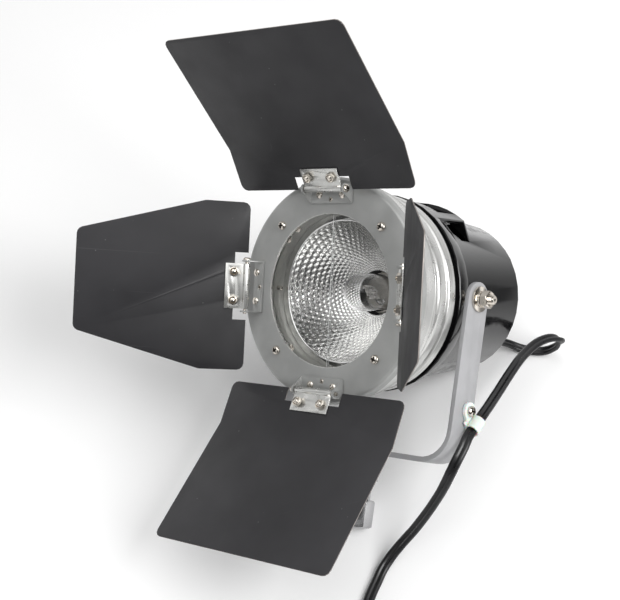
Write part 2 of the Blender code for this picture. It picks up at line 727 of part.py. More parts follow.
def leaf_mesh():
    """Hinge leaf: a sheet rolled round the pin, with two holes."""
    middle = KNUCKLE_RADIUS - LEAF_SHEET / 2
    start = asin(leaf_seat() / middle)
    curl = arc(0, 0, middle, start, start + radians(318), 12)
    path = [(LEAF_REACH, leaf_seat()), *curl]
    sheet = ribbon_mesh("hinge_leaf", path, KNUCKLE_LENGTH, LEAF_SHEET)
    drill = cylinder_mesh("leaf_drill", LEAF_BOLT_RADIUS + HOLE_GAP, 3 * MM, TINY_STEPS)
    tools = [(drill, shift(s * LEAF_BOLT_SPREAD / 2, LEAF_BOLT_REACH, -1.0 * MM), "DIFFERENCE")
             for s in (1, -1)]
    return combined("hinge_leaf", sheet, tools)


def leaf_bolt_mesh():
    """Screw through door and leaf with its nut on the front."""
    back = -DOOR_SETBACK - DOOR_SHEET / 2 - GAP
    nut = leaf_seat() + LEAF_SHEET / 2 + GAP
    end = nut + LEAF_NUT_HEIGHT + LEAF_BOLT_END
    head = LEAF_BOLT_HEAD_RADIUS
    profile = [(0, end), (LEAF_BOLT_RADIUS * 0.75, end), (LEAF_BOLT_RADIUS, end - 0.3 * MM),
               (LEAF_BOLT_RADIUS, back), (head, back), (head, back - LEAF_BOLT_HEAD_HEIGHT * 0.4),
               (head * 0.6, back - LEAF_BOLT_HEAD_HEIGHT), (0, back - LEAF_BOLT_HEAD_HEIGHT)]
    screw = turned_mesh("leaf_bolt", profile, steps=TINY_STEPS)
    tool = cylinder_mesh("leaf_nut", LEAF_NUT_ACROSS / sqrt(3), LEAF_NUT_HEIGHT, 6)
    return combined("leaf_bolt", screw, [(tool, shift(z=nut), "UNION")])


def door_base():
    """Right half of a door's edge round the hinge, from the middle outwards."""
    return [(TONGUE_WIDTH / 2, TONGUE_REACH), (TONGUE_WIDTH / 2, NOTCH_REACH),
            (NOTCH_WIDTH / 2, NOTCH_REACH), (NOTCH_WIDTH / 2, DOOR_BASE)]


def door_mesh(name, outline, radii, folds):
    """Sheet door in its hinge frame, with holes for the leaf's screws."""
    right = outline
    left = [(-x, y) for x, y in reversed(outline)]
    sizes = radii + radii[::-1]
    loop = rounded(right + left, sizes)
    holes = [circle(s * LEAF_BOLT_SPREAD / 2, LEAF_BOLT_REACH, LEAF_BOLT_RADIUS + HOLE_GAP,
                    TINY_STEPS) for s in (1, -1)]
    mesh = folded_mesh(name, [loop, *holes], folds, DOOR_SHEET)
    mesh.transform(shift(z=-DOOR_SETBACK))
    return mesh


def wide_door_mesh():
    """Top or bottom door, with the fold across it."""
    half = WIDE_DOOR_WIDTH / 2
    outline = door_base() + [(half, DOOR_BASE), (half, WIDE_DOOR_REACH)]
    radii = [0, 0, 0, 0, DOOR_CORNER_RADIUS, DOOR_CORNER_RADIUS]
    fold = ((0, WIDE_DOOR_FOLD_REACH, 0), (0, 1, 0), "X", WIDE_DOOR_FOLD)
    return door_mesh("wide_door", outline, radii, [fold])


def side_door_mesh():
    """Left or right door, narrowing to its tip."""
    outline = door_base() + [(SIDE_DOOR_BASE_WIDTH / 2, DOOR_BASE),
                             (SIDE_DOOR_WIDE_WIDTH / 2, SIDE_DOOR_WIDE_REACH),
                             (SIDE_DOOR_TIP_WIDTH / 2, SIDE_DOOR_REACH)]
    radii = [0, 0, 0, 0, DOOR_CORNER_RADIUS, DOOR_CORNER_RADIUS * 2, DOOR_CORNER_RADIUS]
    return door_mesh("side_door", outline, radii, [])


def make_barn_door():
    """Four hinges, each with bracket, pin, leaf, two bolts and its door."""
    bracket = bracket_mesh()
    pin = pin_mesh()
    leaf = leaf_mesh()
    bolt = leaf_bolt_mesh()
    wide = wide_door_mesh()
    side = side_door_mesh()
    for name, (place, angle, head_side) in LEAVES.items():
        frame = rest @ hinge_frame(place)
        opened = frame @ turn(angle, "X")
        add(f"hinge_bracket_{name}", bracket, frame, "satin_alloy")
        pin_turn = turn(0 if head_side > 0 else pi, "Z")
        add(f"hinge_pin_{name}", pin, frame @ pin_turn, "nickel")
        add(f"door_{name}", wide if name in ("top", "bottom") else side, opened, "black_sheet")
        add(f"hinge_leaf_{name}", leaf, opened, "satin_alloy")
        for number, x in enumerate((-LEAF_BOLT_SPREAD / 2, LEAF_BOLT_SPREAD / 2)):
            add(f"leaf_bolt_{name}_{number + 1}", bolt, opened @ shift(x, LEAF_BOLT_REACH), "nickel")


# barrel and optics
def make_barrel():
    """Turned barrel: outer contour with beads, glass seat, sleeve and reflector seat."""
    outer = [(RING_RADIUS - step * MM, y * MM) for step, y in reversed(BARREL_CONTOUR)]
    front = RING_SHEET + GAP
    neck = COLLAR_RADIUS + GAP
    back = front + BARREL_FLANGE
    shoulder = outer[-2][0] - BARREL_WALL
    profile = outer + [(outer[-1][0], front), (GLASS_SEAT_RADIUS, front)]
    profile += [(GLASS_SEAT_RADIUS, GLASS_SEAT_AT), (SLEEVE_RADIUS, GLASS_SEAT_AT)]
    profile += [(SLEEVE_RADIUS, REFLECTOR_SEAT_AT), (REFLECTOR_SEAT_RADIUS, REFLECTOR_SEAT_AT)]
    seat_back = REFLECTOR_SEAT_AT + REFLECTOR_SEAT_SHEET
    sleeve = GLASS_SEAT_RADIUS + SLEEVE_WALL
    profile += [(REFLECTOR_SEAT_RADIUS, seat_back), (sleeve, seat_back), (sleeve, back)]
    profile += [(shoulder, back), (shoulder, BARREL_WAIST_FROM), (neck, BARREL_WAIST_AT)]
    profile += [(neck, outer[0][1])]
    body = turned_mesh("front_barrel", profile, closed=True)
    boss = cylinder_mesh("boss", BOSS_RADIUS, BOSS_END - back + 1 * MM, TINY_STEPS)
    lathe = ALONG_AXIS.inverted()
    unrest = rest.inverted()
    tools = []
    for place in screw_places():
        local = lathe @ unrest @ place
        tools.append((boss, local @ shift(z=-BOSS_END), "UNION"))
    barrel = add("front_barrel", combined("front_barrel", body, tools), rest @ ALONG_AXIS,
                 "satin_alloy")
    for number, place in enumerate(screw_places()):
        drill = cylinder_mesh("boss_drill", RING_SCREW_RADIUS + HOLE_GAP,
                              RING_SCREW_LENGTH + 2 * MM, TINY_STEPS)
        depth = RING_SCREW_LENGTH + GAP
        cut(barrel, f"boss_drill_{number + 1}", drill, place @ shift(z=-depth))
    tap = cylinder_mesh("side_drill", SIDE_SCREW_RADIUS + HOLE_GAP, 6 * MM, TINY_STEPS)
    cut(barrel, "side_drill", tap, side_screw_frame() @ shift(z=-5 * MM))


def side_screw_frame():
    """Frame of the screw in the sleeve's left wall, z towards the optical axis."""
    return rest @ shift(-SLEEVE_RADIUS, SIDE_SCREW_AT, 0) @ TO_RIGHT


def make_side_screw():
    """Screw whose end stands out of the sleeve's wall."""
    outside = SLEEVE_WALL + GLASS_SEAT_RADIUS - SLEEVE_RADIUS + GAP
    profile = [(0, SIDE_SCREW_INWARD), (SIDE_SCREW_RADIUS, SIDE_SCREW_INWARD),
               (SIDE_SCREW_RADIUS, -outside), (SIDE_SCREW_RADIUS * 1.9, -outside),
               (SIDE_SCREW_RADIUS * 1.9, -outside - SIDE_SCREW_HEAD),
               (0, -outside - SIDE_SCREW_HEAD)]
    add("sleeve_screw", turned_mesh("sleeve_screw", profile, steps=TINY_STEPS),
        side_screw_frame(), "nickel")


def make_glass():
    """Safety glass in two halves, split on the upright diameter."""
    radius = GLASS_SEAT_RADIUS - GAP
    back = GLASS_SEAT_AT - GAP
    side = GLASS_SPLIT / 2
    limit = acos(side / radius)
    loop = arc(0, 0, radius, -limit, limit, ROUND_STEPS // 2)
    mesh = plate_mesh("safety_glass", [loop], GLASS_THICKNESS)
    middle = back - GLASS_THICKNESS / 2
    add("safety_glass_right", mesh, rest @ shift(y=middle) @ FORWARD, "glass")
    flip = turn(pi, "Y")
    add("safety_glass_left", mesh, rest @ shift(y=middle) @ flip @ FORWARD, "glass")


def make_glass_clips():
    """Small sheet tabs that hold the glass, between it and the ring."""
    glass_front = GLASS_SEAT_AT - GAP - GLASS_THICKNESS
    middle = (RING_SHEET + glass_front) / 2
    far = GLASS_SEAT_RADIUS - GAP
    far_x = sqrt(far ** 2 - CLIP_HALF_WIDTH ** 2)
    near = far - CLIP_LENGTH + CLIP_HALF_WIDTH
    loop = [(far_x, -CLIP_HALF_WIDTH), (far_x, CLIP_HALF_WIDTH)]
    loop += arc(near, 0, CLIP_HALF_WIDTH, pi / 2, 3 * pi / 2, 6)
    mesh = plate_mesh("glass_clip", [loop], CLIP_SHEET)
    for name, place in CLIP_PLACES.items():
        frame = rest @ turn(-place, "Y") @ shift(y=middle) @ FORWARD
        add(f"glass_clip_{name}", mesh, frame, "nickel")


def reflector_depth(radius):
    """Distance of the bowl's front surface behind its rim at a radius."""
    return (REFLECTOR_RADIUS ** 2 - radius ** 2) / (4 * REFLECTOR_FOCUS)


def make_reflector():
    """Pressed bowl with a flat rim and an open neck round the bulb."""
    rim = REFLECTOR_SEAT_AT - GAP - REFLECTOR_SHEET
    count = 7
    radii = [REFLECTOR_RADIUS + (REFLECTOR_HOLE_RADIUS - REFLECTOR_RADIUS) * i / count
             for i in range(count + 1)]
    front = [(r, rim + reflector_depth(r)) for r in radii]
    slopes = [atan2(r, 2 * REFLECTOR_FOCUS) for r in radii]
    back = [(r + REFLECTOR_SHEET * sin(a), y + REFLECTOR_SHEET * cos(a))
            for (r, y), a in zip(front, slopes)]
    back[0] = (REFLECTOR_SEAT_RADIUS - GAP, rim + REFLECTOR_SHEET)
    edge = SLEEVE_RADIUS - GAP
    lip = REFLECTOR_RADIUS + REFLECTOR_LIP
    profile = back[::-1] + [(edge, rim + REFLECTOR_SHEET), (edge, rim), (lip, rim)]
    profile += [(lip - 0.2 * MM, rim - 0.5 * MM), (REFLECTOR_RADIUS, rim - 0.3 * MM)] + front[1:]
    add("reflector", turned_mesh("reflector", profile, closed=True), rest @ ALONG_AXIS, "mirror")


def make_bulb():
    """Clear domed tube, open at its foot, over a ceramic base with filament posts."""
    dome = BULB_RADIUS
    centre = BULB_TIP_AT + dome
    outer = [(BULB_RADIUS, BULB_FOOT_AT)] + [(x, centre - y) for x, y in arc(0, 0, dome, 0, pi / 2, 4)]
    inner_radius = dome - BULB_WALL
    inner = [(x, centre - y) for x, y in arc(0, 0, inner_radius, pi / 2, 0, 4)]
    outer[-1] = (0, BULB_TIP_AT)
    inner[0] = (0, BULB_TIP_AT + BULB_WALL)
    profile = outer + inner + [(inner_radius, BULB_FOOT_AT)]
    add("bulb_envelope", turned_mesh("bulb_envelope", profile, steps=18),
        rest @ ALONG_AXIS, "glass")
    bridge_foot(profile)


def bridge_foot(profile):
    """Closes the tube's foot between its outer and inner wall."""
    item = bpy.data.objects["bulb_envelope"]
    work = bmesh.new()
    work.from_mesh(item.data)
    open_edges = [edge for edge in work.edges if edge.is_boundary]
    bmesh.ops.bridge_loops(work, edges=open_edges)
    bmesh.ops.recalc_face_normals(work, faces=work.faces)
    work.to_mesh(item.data)
    work.free()


def make_base_and_socket():
    """Ceramic base with two posts and filament bar, and the lamp socket behind it."""
    start = BULB_FOOT_AT + GAP
    inner = BULB_RADIUS - BULB_WALL - PINCH_GAP
    pinch = BULB_FOOT_AT - PINCH_LENGTH
    profile = [(0, start + BASE_LENGTH), (BASE_RADIUS, start + BASE_LENGTH), (BASE_RADIUS, start),
               (inner, start), (inner, pinch), (0, pinch)]
    base = turned_mesh("bulb_base", profile, steps=24)
    post = cylinder_mesh("post", POST_RADIUS, pinch - FILAMENT_AT + 1 * MM, 6)
    bar = cylinder_mesh("bar", FILAMENT_RADIUS, FILAMENT_LENGTH, 8)
    tools = [(post, shift(x=s * POST_ASIDE, z=FILAMENT_AT), "UNION") for s in (-1, 1)]
    tools.append((bar, shift(x=-FILAMENT_LENGTH / 2, z=FILAMENT_AT) @ TO_RIGHT, "UNION"))
    add("bulb_base", combined("bulb_base", base, tools), rest @ ALONG_AXIS, "ceramic")
    foot = start + BASE_LENGTH + GAP
    socket = [(0, foot + SOCKET_LENGTH), (SOCKET_RADIUS * 0.9, foot + SOCKET_LENGTH),
              (SOCKET_RADIUS, foot + SOCKET_LENGTH - 2 * MM), (SOCKET_RADIUS, foot), (0, foot)]
    add("lamp_socket", turned_mesh("lamp_socket", socket, steps=24), rest @ ALONG_AXIS, "ceramic")


def cone_radius(at):
    """Outer radius of the housing's cone."""
    share = (at - CONE_FRONT) / (HOUSING_REAR - CONE_FRONT)
    return CONE_FRONT_RADIUS + (CONE_REAR_RADIUS - CONE_FRONT_RADIUS) * share


def make_socket_bridge():
    """Strap that carries the socket, with legs against the housing's wall."""
    face = BULB_FOOT_AT + GAP + BASE_LENGTH + GAP + SOCKET_LENGTH + GAP + BRIDGE_SHEET / 2
    far = face + BRIDGE_LEG
    wall = cone_radius(far) - HOUSING_WALL - GAP
    half = sqrt(wall ** 2 - (BRIDGE_WIDTH / 2) ** 2) - BRIDGE_SHEET / 2
    path = [(-half, far), (-half, face), (half, face), (half, far)]
    mesh = ribbon_mesh("socket_bridge", path, BRIDGE_WIDTH, BRIDGE_SHEET)
    place = rest @ Matrix(((0, 1, 0, 0), (0, 0, 1, 0), (1, 0, 0, 0), (0, 0, 0, 1)))
    add("socket_bridge", mesh, place, "satin_alloy")


# collar and housing
def make_collar():
    """Black collar between barrel and housing."""
    inner = COLLAR_RADIUS - COLLAR_WALL
    profile = [(COLLAR_RADIUS, COLLAR_REAR), (COLLAR_RADIUS, COLLAR_FRONT),
               (inner, COLLAR_FRONT), (inner, COLLAR_REAR)]
    add("neck_collar", turned_mesh("neck_collar", profile, closed=True), rest @ ALONG_AXIS,
        "matt_black")


def hood_outline(inset):
    """Cross-section of the vent hood, drawn in by an inset."""
    radius = HOOD_RADIUS - inset
    top_x = HOOD_RADIUS * sin(HOOD_HALF_ANGLE)
    top_z = HOOD_RADIUS * cos(HOOD_HALF_ANGLE)
    foot_x = HOOD_FOOT_RADIUS * cos(HOOD_FOOT_ANGLE)
    low = HOOD_FOOT_RADIUS * sin(HOOD_FOOT_ANGLE)
    slope = atan2(top_z - low, foot_x - top_x)
    foot_x -= inset / sin(slope)
    reach = HOOD_HALF_ANGLE - inset / HOOD_RADIUS
    top = arc(0, 0, radius, pi / 2 - reach, pi / 2 + reach, 10)
    root_x = foot_x - HOOD_ROOT_INSET
    return [(foot_x, low), *top, (-foot_x, low), (-root_x, HOOD_ROOT), (root_x, HOOD_ROOT)]


def make_housing():
    """Conical shell with a stepped front flange and a vent hood over the top."""
    outer = [(0, HOUSING_REAR), (CONE_REAR_RADIUS - REAR_EDGE, HOUSING_REAR),
             (CONE_REAR_RADIUS, HOUSING_REAR - REAR_EDGE), (CONE_FRONT_RADIUS, CONE_FRONT),
             (FLANGE_REAR_RADIUS, FLANGE_REAR), (FLANGE_FRONT_RADIUS, HOUSING_FRONT + 0.6 * MM),
             (FLANGE_FRONT_RADIUS - 0.5 * MM, HOUSING_FRONT), (0, HOUSING_FRONT)]
    solid = turned_mesh("housing", outer)
    hood = plate_mesh("hood", [hood_outline(0)], HOOD_REAR - HOOD_FRONT)
    upright = Matrix(((1, 0, 0, 0), (0, -1, 0, 0), (0, 0, 1, 0), (0, 0, 0, 1)))
    middle = (HOOD_REAR + HOOD_FRONT) / 2
    body = combined("housing", solid, [(hood, upright @ shift(z=middle), "UNION")])
    housing = add("housing", body, rest @ ALONG_AXIS, "gloss_black")
    narrow = COLLAR_RADIUS + GAP
    bore = [(0, HOUSING_REAR + 1 * MM), (cone_radius(HOUSING_REAR + 1 * MM) - HOUSING_WALL,
            HOUSING_REAR + 1 * MM), (cone_radius(CONE_FRONT) - HOUSING_WALL, CONE_FRONT - 2 * MM),
            (narrow, COLLAR_REAR + 2 * GAP), (narrow, HOUSING_FRONT - 1 * MM),
            (0, HOUSING_FRONT - 1 * MM)]
    cut(housing, "housing_bore", turned_mesh("housing_bore", bore), rest @ ALONG_AXIS)
    inner_front = CONE_FRONT + 2 * MM
    inner_rear = HOOD_REAR - HOOD_WALL
    pocket = plate_mesh("hood_pocket", [hood_outline(HOOD_WALL)], inner_rear - inner_front)
    frame = rest @ ALONG_AXIS @ upright
    cut(housing, "hood_pocket", pocket, frame @ shift(z=(inner_front + inner_rear) / 2))
    cut_windows(housing)
    for name, side in (("right", TO_RIGHT), ("left", TO_LEFT)):
        inside = CONE_REAR_RADIUS - DRILL_REACH
        reach = FLANGE_FRONT_RADIUS + DRILL_REACH - inside
        drill = cylinder_mesh("stud_drill", STUD_RADIUS + HOLE_GAP, reach)
        place = rest @ shift(0, PIVOT_AT, PIVOT_HEIGHT) @ side @ shift(z=inside)
        cut(housing, f"stud_drill_{name}", drill, place)


def cut_windows(housing):
    """Cuts the hood's two side windows and two top windows."""
    top_x = HOOD_RADIUS * sin(HOOD_HALF_ANGLE)
    top_z = HOOD_RADIUS * cos(HOOD_HALF_ANGLE)
    foot_x = HOOD_FOOT_RADIUS * cos(HOOD_FOOT_ANGLE)
    foot_z = HOOD_FOOT_RADIUS * sin(HOOD_FOOT_ANGLE)
    slope = atan2(top_z - foot_z, foot_x - top_x)
    rear = HOOD_REAR - WINDOW_FRAME
    high = -WINDOW_FRAME
    low = -WINDOW_FRAME - SIDE_WINDOW_HEIGHT
    loop = [(SIDE_WINDOW_TOP_FRONT, high), (rear, high), (rear - 0.8 * MM, low),
            (SIDE_WINDOW_FOOT_FRONT, low)]
    for name, s in (("right", 1), ("left", -1)):
        points = loop if s > 0 else loop[::-1]
        mesh = plate_mesh("side_window", [points], 4 * MM)
        down = Vector((s * cos(slope), 0, -sin(slope)))
        across = Vector((0, 1, 0))
        normal = across.cross(-down)
        frame = Matrix((across, -down, normal)).transposed().to_4x4()
        frame.translation = Vector((s * top_x, 0, top_z))
        cut(housing, f"side_window_{name}", mesh, rest @ frame)
    length = rear - TOP_WINDOW_FRONT
    inner = HOOD_RADIUS - HOOD_WALL - 1 * MM
    sector = arc(0, 0, HOOD_RADIUS + 2 * MM, TOP_WINDOW_FROM, TOP_WINDOW_TO, 5)
    sector += arc(0, 0, inner, TOP_WINDOW_TO, TOP_WINDOW_FROM, 5)
    for name, s in (("right", 1), ("left", -1)):
        points = [(s * x, z) for x, z in sector]
        mesh = plate_mesh("top_window", [points], length)
        place = rest @ shift(y=TOP_WINDOW_FRONT + length / 2) @ FORWARD
        cut(housing, f"top_window_{name}", mesh, place)


def make_rear_cap():
    """Pressed cap inside the rear of the housing, with vent slots and the cord's hole."""
    outside = HOUSING_REAR - REAR_CAP_INSET
    front = outside - REAR_CAP_LIP
    inside = outside - REAR_CAP_SHEET
    wide = cone_radius(outside) - HOUSING_WALL - GAP
    narrow = cone_radius(front) - HOUSING_WALL - GAP
    profile = [(0, outside), (wide, outside), (narrow, front),
               (narrow - REAR_CAP_SHEET, front), (wide - REAR_CAP_SHEET, inside), (0, inside)]
    root_x = REAR_LUG_CIRCLE * cos(REAR_LUG_ANGLE)
    root_z = REAR_LUG_CIRCLE * sin(REAR_LUG_ANGLE)
    lug = box_mesh("rear_lug", (REAR_LUG_SHEET, REAR_LUG_WIDTH, REAR_LUG_OUT + REAR_CAP_SHEET / 2))
    place = shift(root_x, -root_z, outside + REAR_LUG_OUT / 2 - REAR_CAP_SHEET / 4)
    body = combined("rear_cap", turned_mesh("rear_cap", profile),
                    [(lug, place @ turn(-REAR_LUG_ANGLE, "Z"), "UNION")])
    cap = add("rear_cap", body, rest @ ALONG_AXIS, "matt_black")
    for i in range(REAR_SLOTS):
        high = REAR_SLOT_PITCH * (i + 0.5)
        chord = sqrt(wide ** 2 - (high + REAR_SLOT_MARGIN) ** 2)
        half = min(REAR_SLOT_LENGTH / 2, chord - REAR_SLOT_MARGIN)
        loop = rounded([(-half, -REAR_SLOT_WIDTH / 2), (half, -REAR_SLOT_WIDTH / 2),
                        (half, REAR_SLOT_WIDTH / 2), (-half, REAR_SLOT_WIDTH / 2)],
                       REAR_SLOT_WIDTH * 0.4)
        slot = plate_mesh("rear_slot", [loop], 2 * REAR_CAP_SHEET + DRILL_REACH)
        cut(cap, f"rear_slot_{i + 1}", slot, rest @ shift(y=outside, z=high) @ FORWARD)
    drill = cylinder_mesh("gland_drill", GLAND_RADIUS + HOLE_GAP, 2 * DRILL_REACH, SMALL_STEPS)
    cut(cap, "gland_drill", drill, gland_frame() @ shift(z=-DRILL_REACH))


def gland_frame():
    """Frame of the cord gland on the rear cap's outer face, z straight out."""
    across = GLAND_CIRCLE * cos(GLAND_ANGLE)
    high = GLAND_CIRCLE * sin(GLAND_ANGLE)
    return rest @ shift(across, HOUSING_REAR - REAR_CAP_INSET, high) @ ALONG_AXIS


def make_gland():
    """Tapered strain relief of the cord in the rear cap."""
    seat = GAP
    nose = CORD_RADIUS + GLAND_NOSE_WALL
    profile = [(0, seat + GLAND_OUT), (nose, seat + GLAND_OUT),
               (GLAND_ROOT_RADIUS, seat + GLAND_FLANGE),
               (GLAND_FLANGE_RADIUS, seat + GLAND_FLANGE), (GLAND_FLANGE_RADIUS, seat),
               (GLAND_RADIUS, seat), (GLAND_RADIUS, -GLAND_IN), (0, -GLAND_IN)]
    add("cord_gland", turned_mesh("cord_gland", profile, steps=SMALL_STEPS), gland_frame(),
        "matt_black")


# yoke and spigot
def make_yoke():
    """Flat bar bent to a U, with round arm ends."""
    half = YOKE_WIDTH / 2
    low = -YOKE_DROP
    bend = YOKE_BEND_RADIUS
    top = YOKE_BAR_WIDTH / 2
    outer = arc(half - bend, low + bend, bend, -pi / 2, 0, 8)
    inner = arc(half - bend, low + bend, bend - YOKE_BAR, -pi / 2, 0, 8)
    loop = outer + [(half, top), (half - YOKE_BAR, top)] + inner[::-1]
    loop += [(-x, z) for x, z in inner] + [(-half + YOKE_BAR, top), (-half, top)]
    loop += [(-x, z) for x, z in reversed(outer)]
    mesh = plate_mesh("yoke", [loop], YOKE_BAR_WIDTH)
    round_ends(mesh, top)
    yoke = add("yoke", mesh, rest @ yoke_frame() @ FORWARD, "grey_paint")
    frame = rest @ yoke_frame()
    for name, side in (("right", TO_RIGHT), ("left", TO_LEFT)):
        drill = cylinder_mesh("arm_drill", STUD_RADIUS + HOLE_GAP, YOKE_BAR + 2 * DRILL_REACH)
        place = frame @ side @ shift(z=half - YOKE_BAR - DRILL_REACH)
        cut(yoke, f"arm_drill_{name}", drill, place)
    drill = cylinder_mesh("base_drill", SPIGOT_BOLT_RADIUS + HOLE_GAP, YOKE_BAR + 2 * DRILL_REACH)
    cut(yoke, "base_drill", drill, frame @ shift(z=low - DRILL_REACH))
    drill = cylinder_mesh("clip_drill", CLIP_SCREW_RADIUS + HOLE_GAP, YOKE_BAR + 2 * DRILL_REACH,
                          TINY_STEPS)
    cut(yoke, "clip_drill", drill, clip_screw_frame() @ shift(z=-YOKE_BAR - DRILL_REACH))


def round_ends(mesh, top):
    """Rounds the two arm ends to half circles."""
    work = bmesh.new()
    work.from_mesh(mesh)
    bmesh.ops.dissolve_limit(work, angle_limit=0.01, verts=work.verts, edges=work.edges)
    ends = [edge for edge in work.edges
            if all(abs(v.co.y - top) < 1e-5 for v in edge.verts)
            and abs(edge.verts[0].co.x - edge.verts[1].co.x) > 1e-4]
    bmesh.ops.bevel(work, geom=ends, offset=YOKE_BAR_WIDTH / 2 - 0.05 * MM, offset_type="OFFSET",
                    segments=6, profile=0.5, affect="EDGES")
    bmesh.ops.recalc_face_normals(work, faces=work.faces)
    work.to_mesh(mesh)
    work.free()
    smooth(mesh)


def make_tilt_joint():
    """Stud, washers and nut on each side of the housing."""
    inner_wall = sqrt((cone_radius(CONE_FRONT + 4 * MM) - HOUSING_WALL) ** 2 - STUD_HEAD_RADIUS ** 2)
    head = inner_wall - GAP
    face = YOKE_WIDTH / 2
    shoulder_end = face - YOKE_BAR - GAP
    stud = [(0, STUD_LENGTH), (STUD_RADIUS * 0.8, STUD_LENGTH),
            (STUD_RADIUS, STUD_LENGTH - 0.7 * MM), (STUD_RADIUS, shoulder_end),
            (SHOULDER_RADIUS, shoulder_end), (SHOULDER_RADIUS, SHOULDER_FROM),
            (STUD_RADIUS, SHOULDER_FROM), (STUD_RADIUS, head), (STUD_HEAD_RADIUS, head),
            (STUD_HEAD_RADIUS, head - STUD_HEAD_HEIGHT), (0, head - STUD_HEAD_HEIGHT)]
    hole = STUD_RADIUS + GAP
    first = face + GAP
    second = first + WASHER_HEIGHT
    last = second + SPRING_WASHER_HEIGHT
    washer = [(SPRING_WASHER_RADIUS, last), (SPRING_WASHER_RADIUS, second),
              (WASHER_RADIUS, second), (WASHER_RADIUS, first), (hole, first), (hole, last)]
    nut = hex_mesh("tilt_nut", TILT_NUT_ACROSS, TILT_NUT_HEIGHT, 0.9 * MM)
    bore = cylinder_mesh("nut_bore", hole, TILT_NUT_HEIGHT + 2 * MM)
    nut = combined("tilt_nut", nut, [(bore, shift(z=-1 * MM), "DIFFERENCE")])
    stud_mesh = turned_mesh("tilt_stud", stud, steps=SMALL_STEPS)
    washer_mesh = turned_mesh("tilt_washer", washer, closed=True, steps=SMALL_STEPS)
    for name, side in (("right", TO_RIGHT), ("left", TO_LEFT)):
        frame = rest @ shift(0, PIVOT_AT, PIVOT_HEIGHT) @ side
        add(f"tilt_stud_{name}", stud_mesh, frame, "nickel")
        add(f"tilt_washer_{name}", washer_mesh, frame, "nickel")
        add(f"tilt_nut_{name}", nut, frame @ shift(z=last + GAP), "nickel")


def make_spigot():
    """Spigot of two hexagons and a round neck, and the bolt that holds it."""
    low = SPIGOT_LOWER
    neck = low + SPIGOT_NECK
    upper = neck + SPIGOT_UPPER
    total = upper + SPIGOT_COLLAR_HEIGHT
    lower_hex = hex_mesh("spigot_lower", SPIGOT_ACROSS, SPIGOT_LOWER, SPIGOT_CHAMFER)
    upper_hex = hex_mesh("spigot_upper", SPIGOT_ACROSS, SPIGOT_UPPER, SPIGOT_CHAMFER)
    joint = 1 * MM
    column = [(0, total), (SPIGOT_COLLAR_RADIUS, total), (SPIGOT_COLLAR_RADIUS, upper - joint),
              (SPIGOT_NECK_RADIUS, upper - joint), (SPIGOT_NECK_RADIUS, low - joint),
              (0, low - joint)]
    core = turned_mesh("spigot", column, steps=SMALL_STEPS)
    drill = cylinder_mesh("spigot_drill", SPIGOT_BOLT_RADIUS + HOLE_GAP, SPIGOT_BOLT_DEPTH + 1 * MM)
    tools = [(lower_hex, Matrix.Identity(4), "UNION"), (upper_hex, shift(z=neck), "UNION"),
             (drill, shift(z=total - SPIGOT_BOLT_DEPTH), "DIFFERENCE")]
    bottom = rest @ yoke_frame() @ shift(z=-YOKE_DROP - GAP - total)
    add("spigot", combined("spigot", core, tools), bottom, "turned_alloy")
    seat = YOKE_BAR + GAP
    shank_end = -GAP - SPIGOT_BOLT_DEPTH + GAP
    shank = cylinder_mesh("spigot_bolt", SPIGOT_BOLT_RADIUS, seat - shank_end + 1 * MM)
    shank.transform(shift(z=shank_end))
    head = hex_mesh("bolt_head", SPIGOT_BOLT_ACROSS, SPIGOT_BOLT_HEAD, 0.9 * MM)
    bolt = combined("spigot_bolt", shank, [(head, shift(z=seat), "UNION")])
    add("spigot_bolt", bolt, rest @ yoke_frame() @ shift(z=-YOKE_DROP), "nickel")


# cord clip
def clip_screw_frame():
    """Frame of the clip's screw on the right arm's outer face, z straight out."""
    return rest @ yoke_frame() @ shift(YOKE_WIDTH / 2, CLIP_SCREW_ACROSS, -CLIP_SCREW_DOWN) @ TO_RIGHT


def clip_frame():
    """Frame of the clip: x back along the cord, y from the loop to the screw, z off the arm."""
    return clip_screw_frame() @ turn(CLIP_AXIS_TURN, "Z")


def loop_height():
    """Height of the cord's middle over the arm in the clip."""
    return GAP + CLIP_STRAP + GAP + CORD_RADIUS


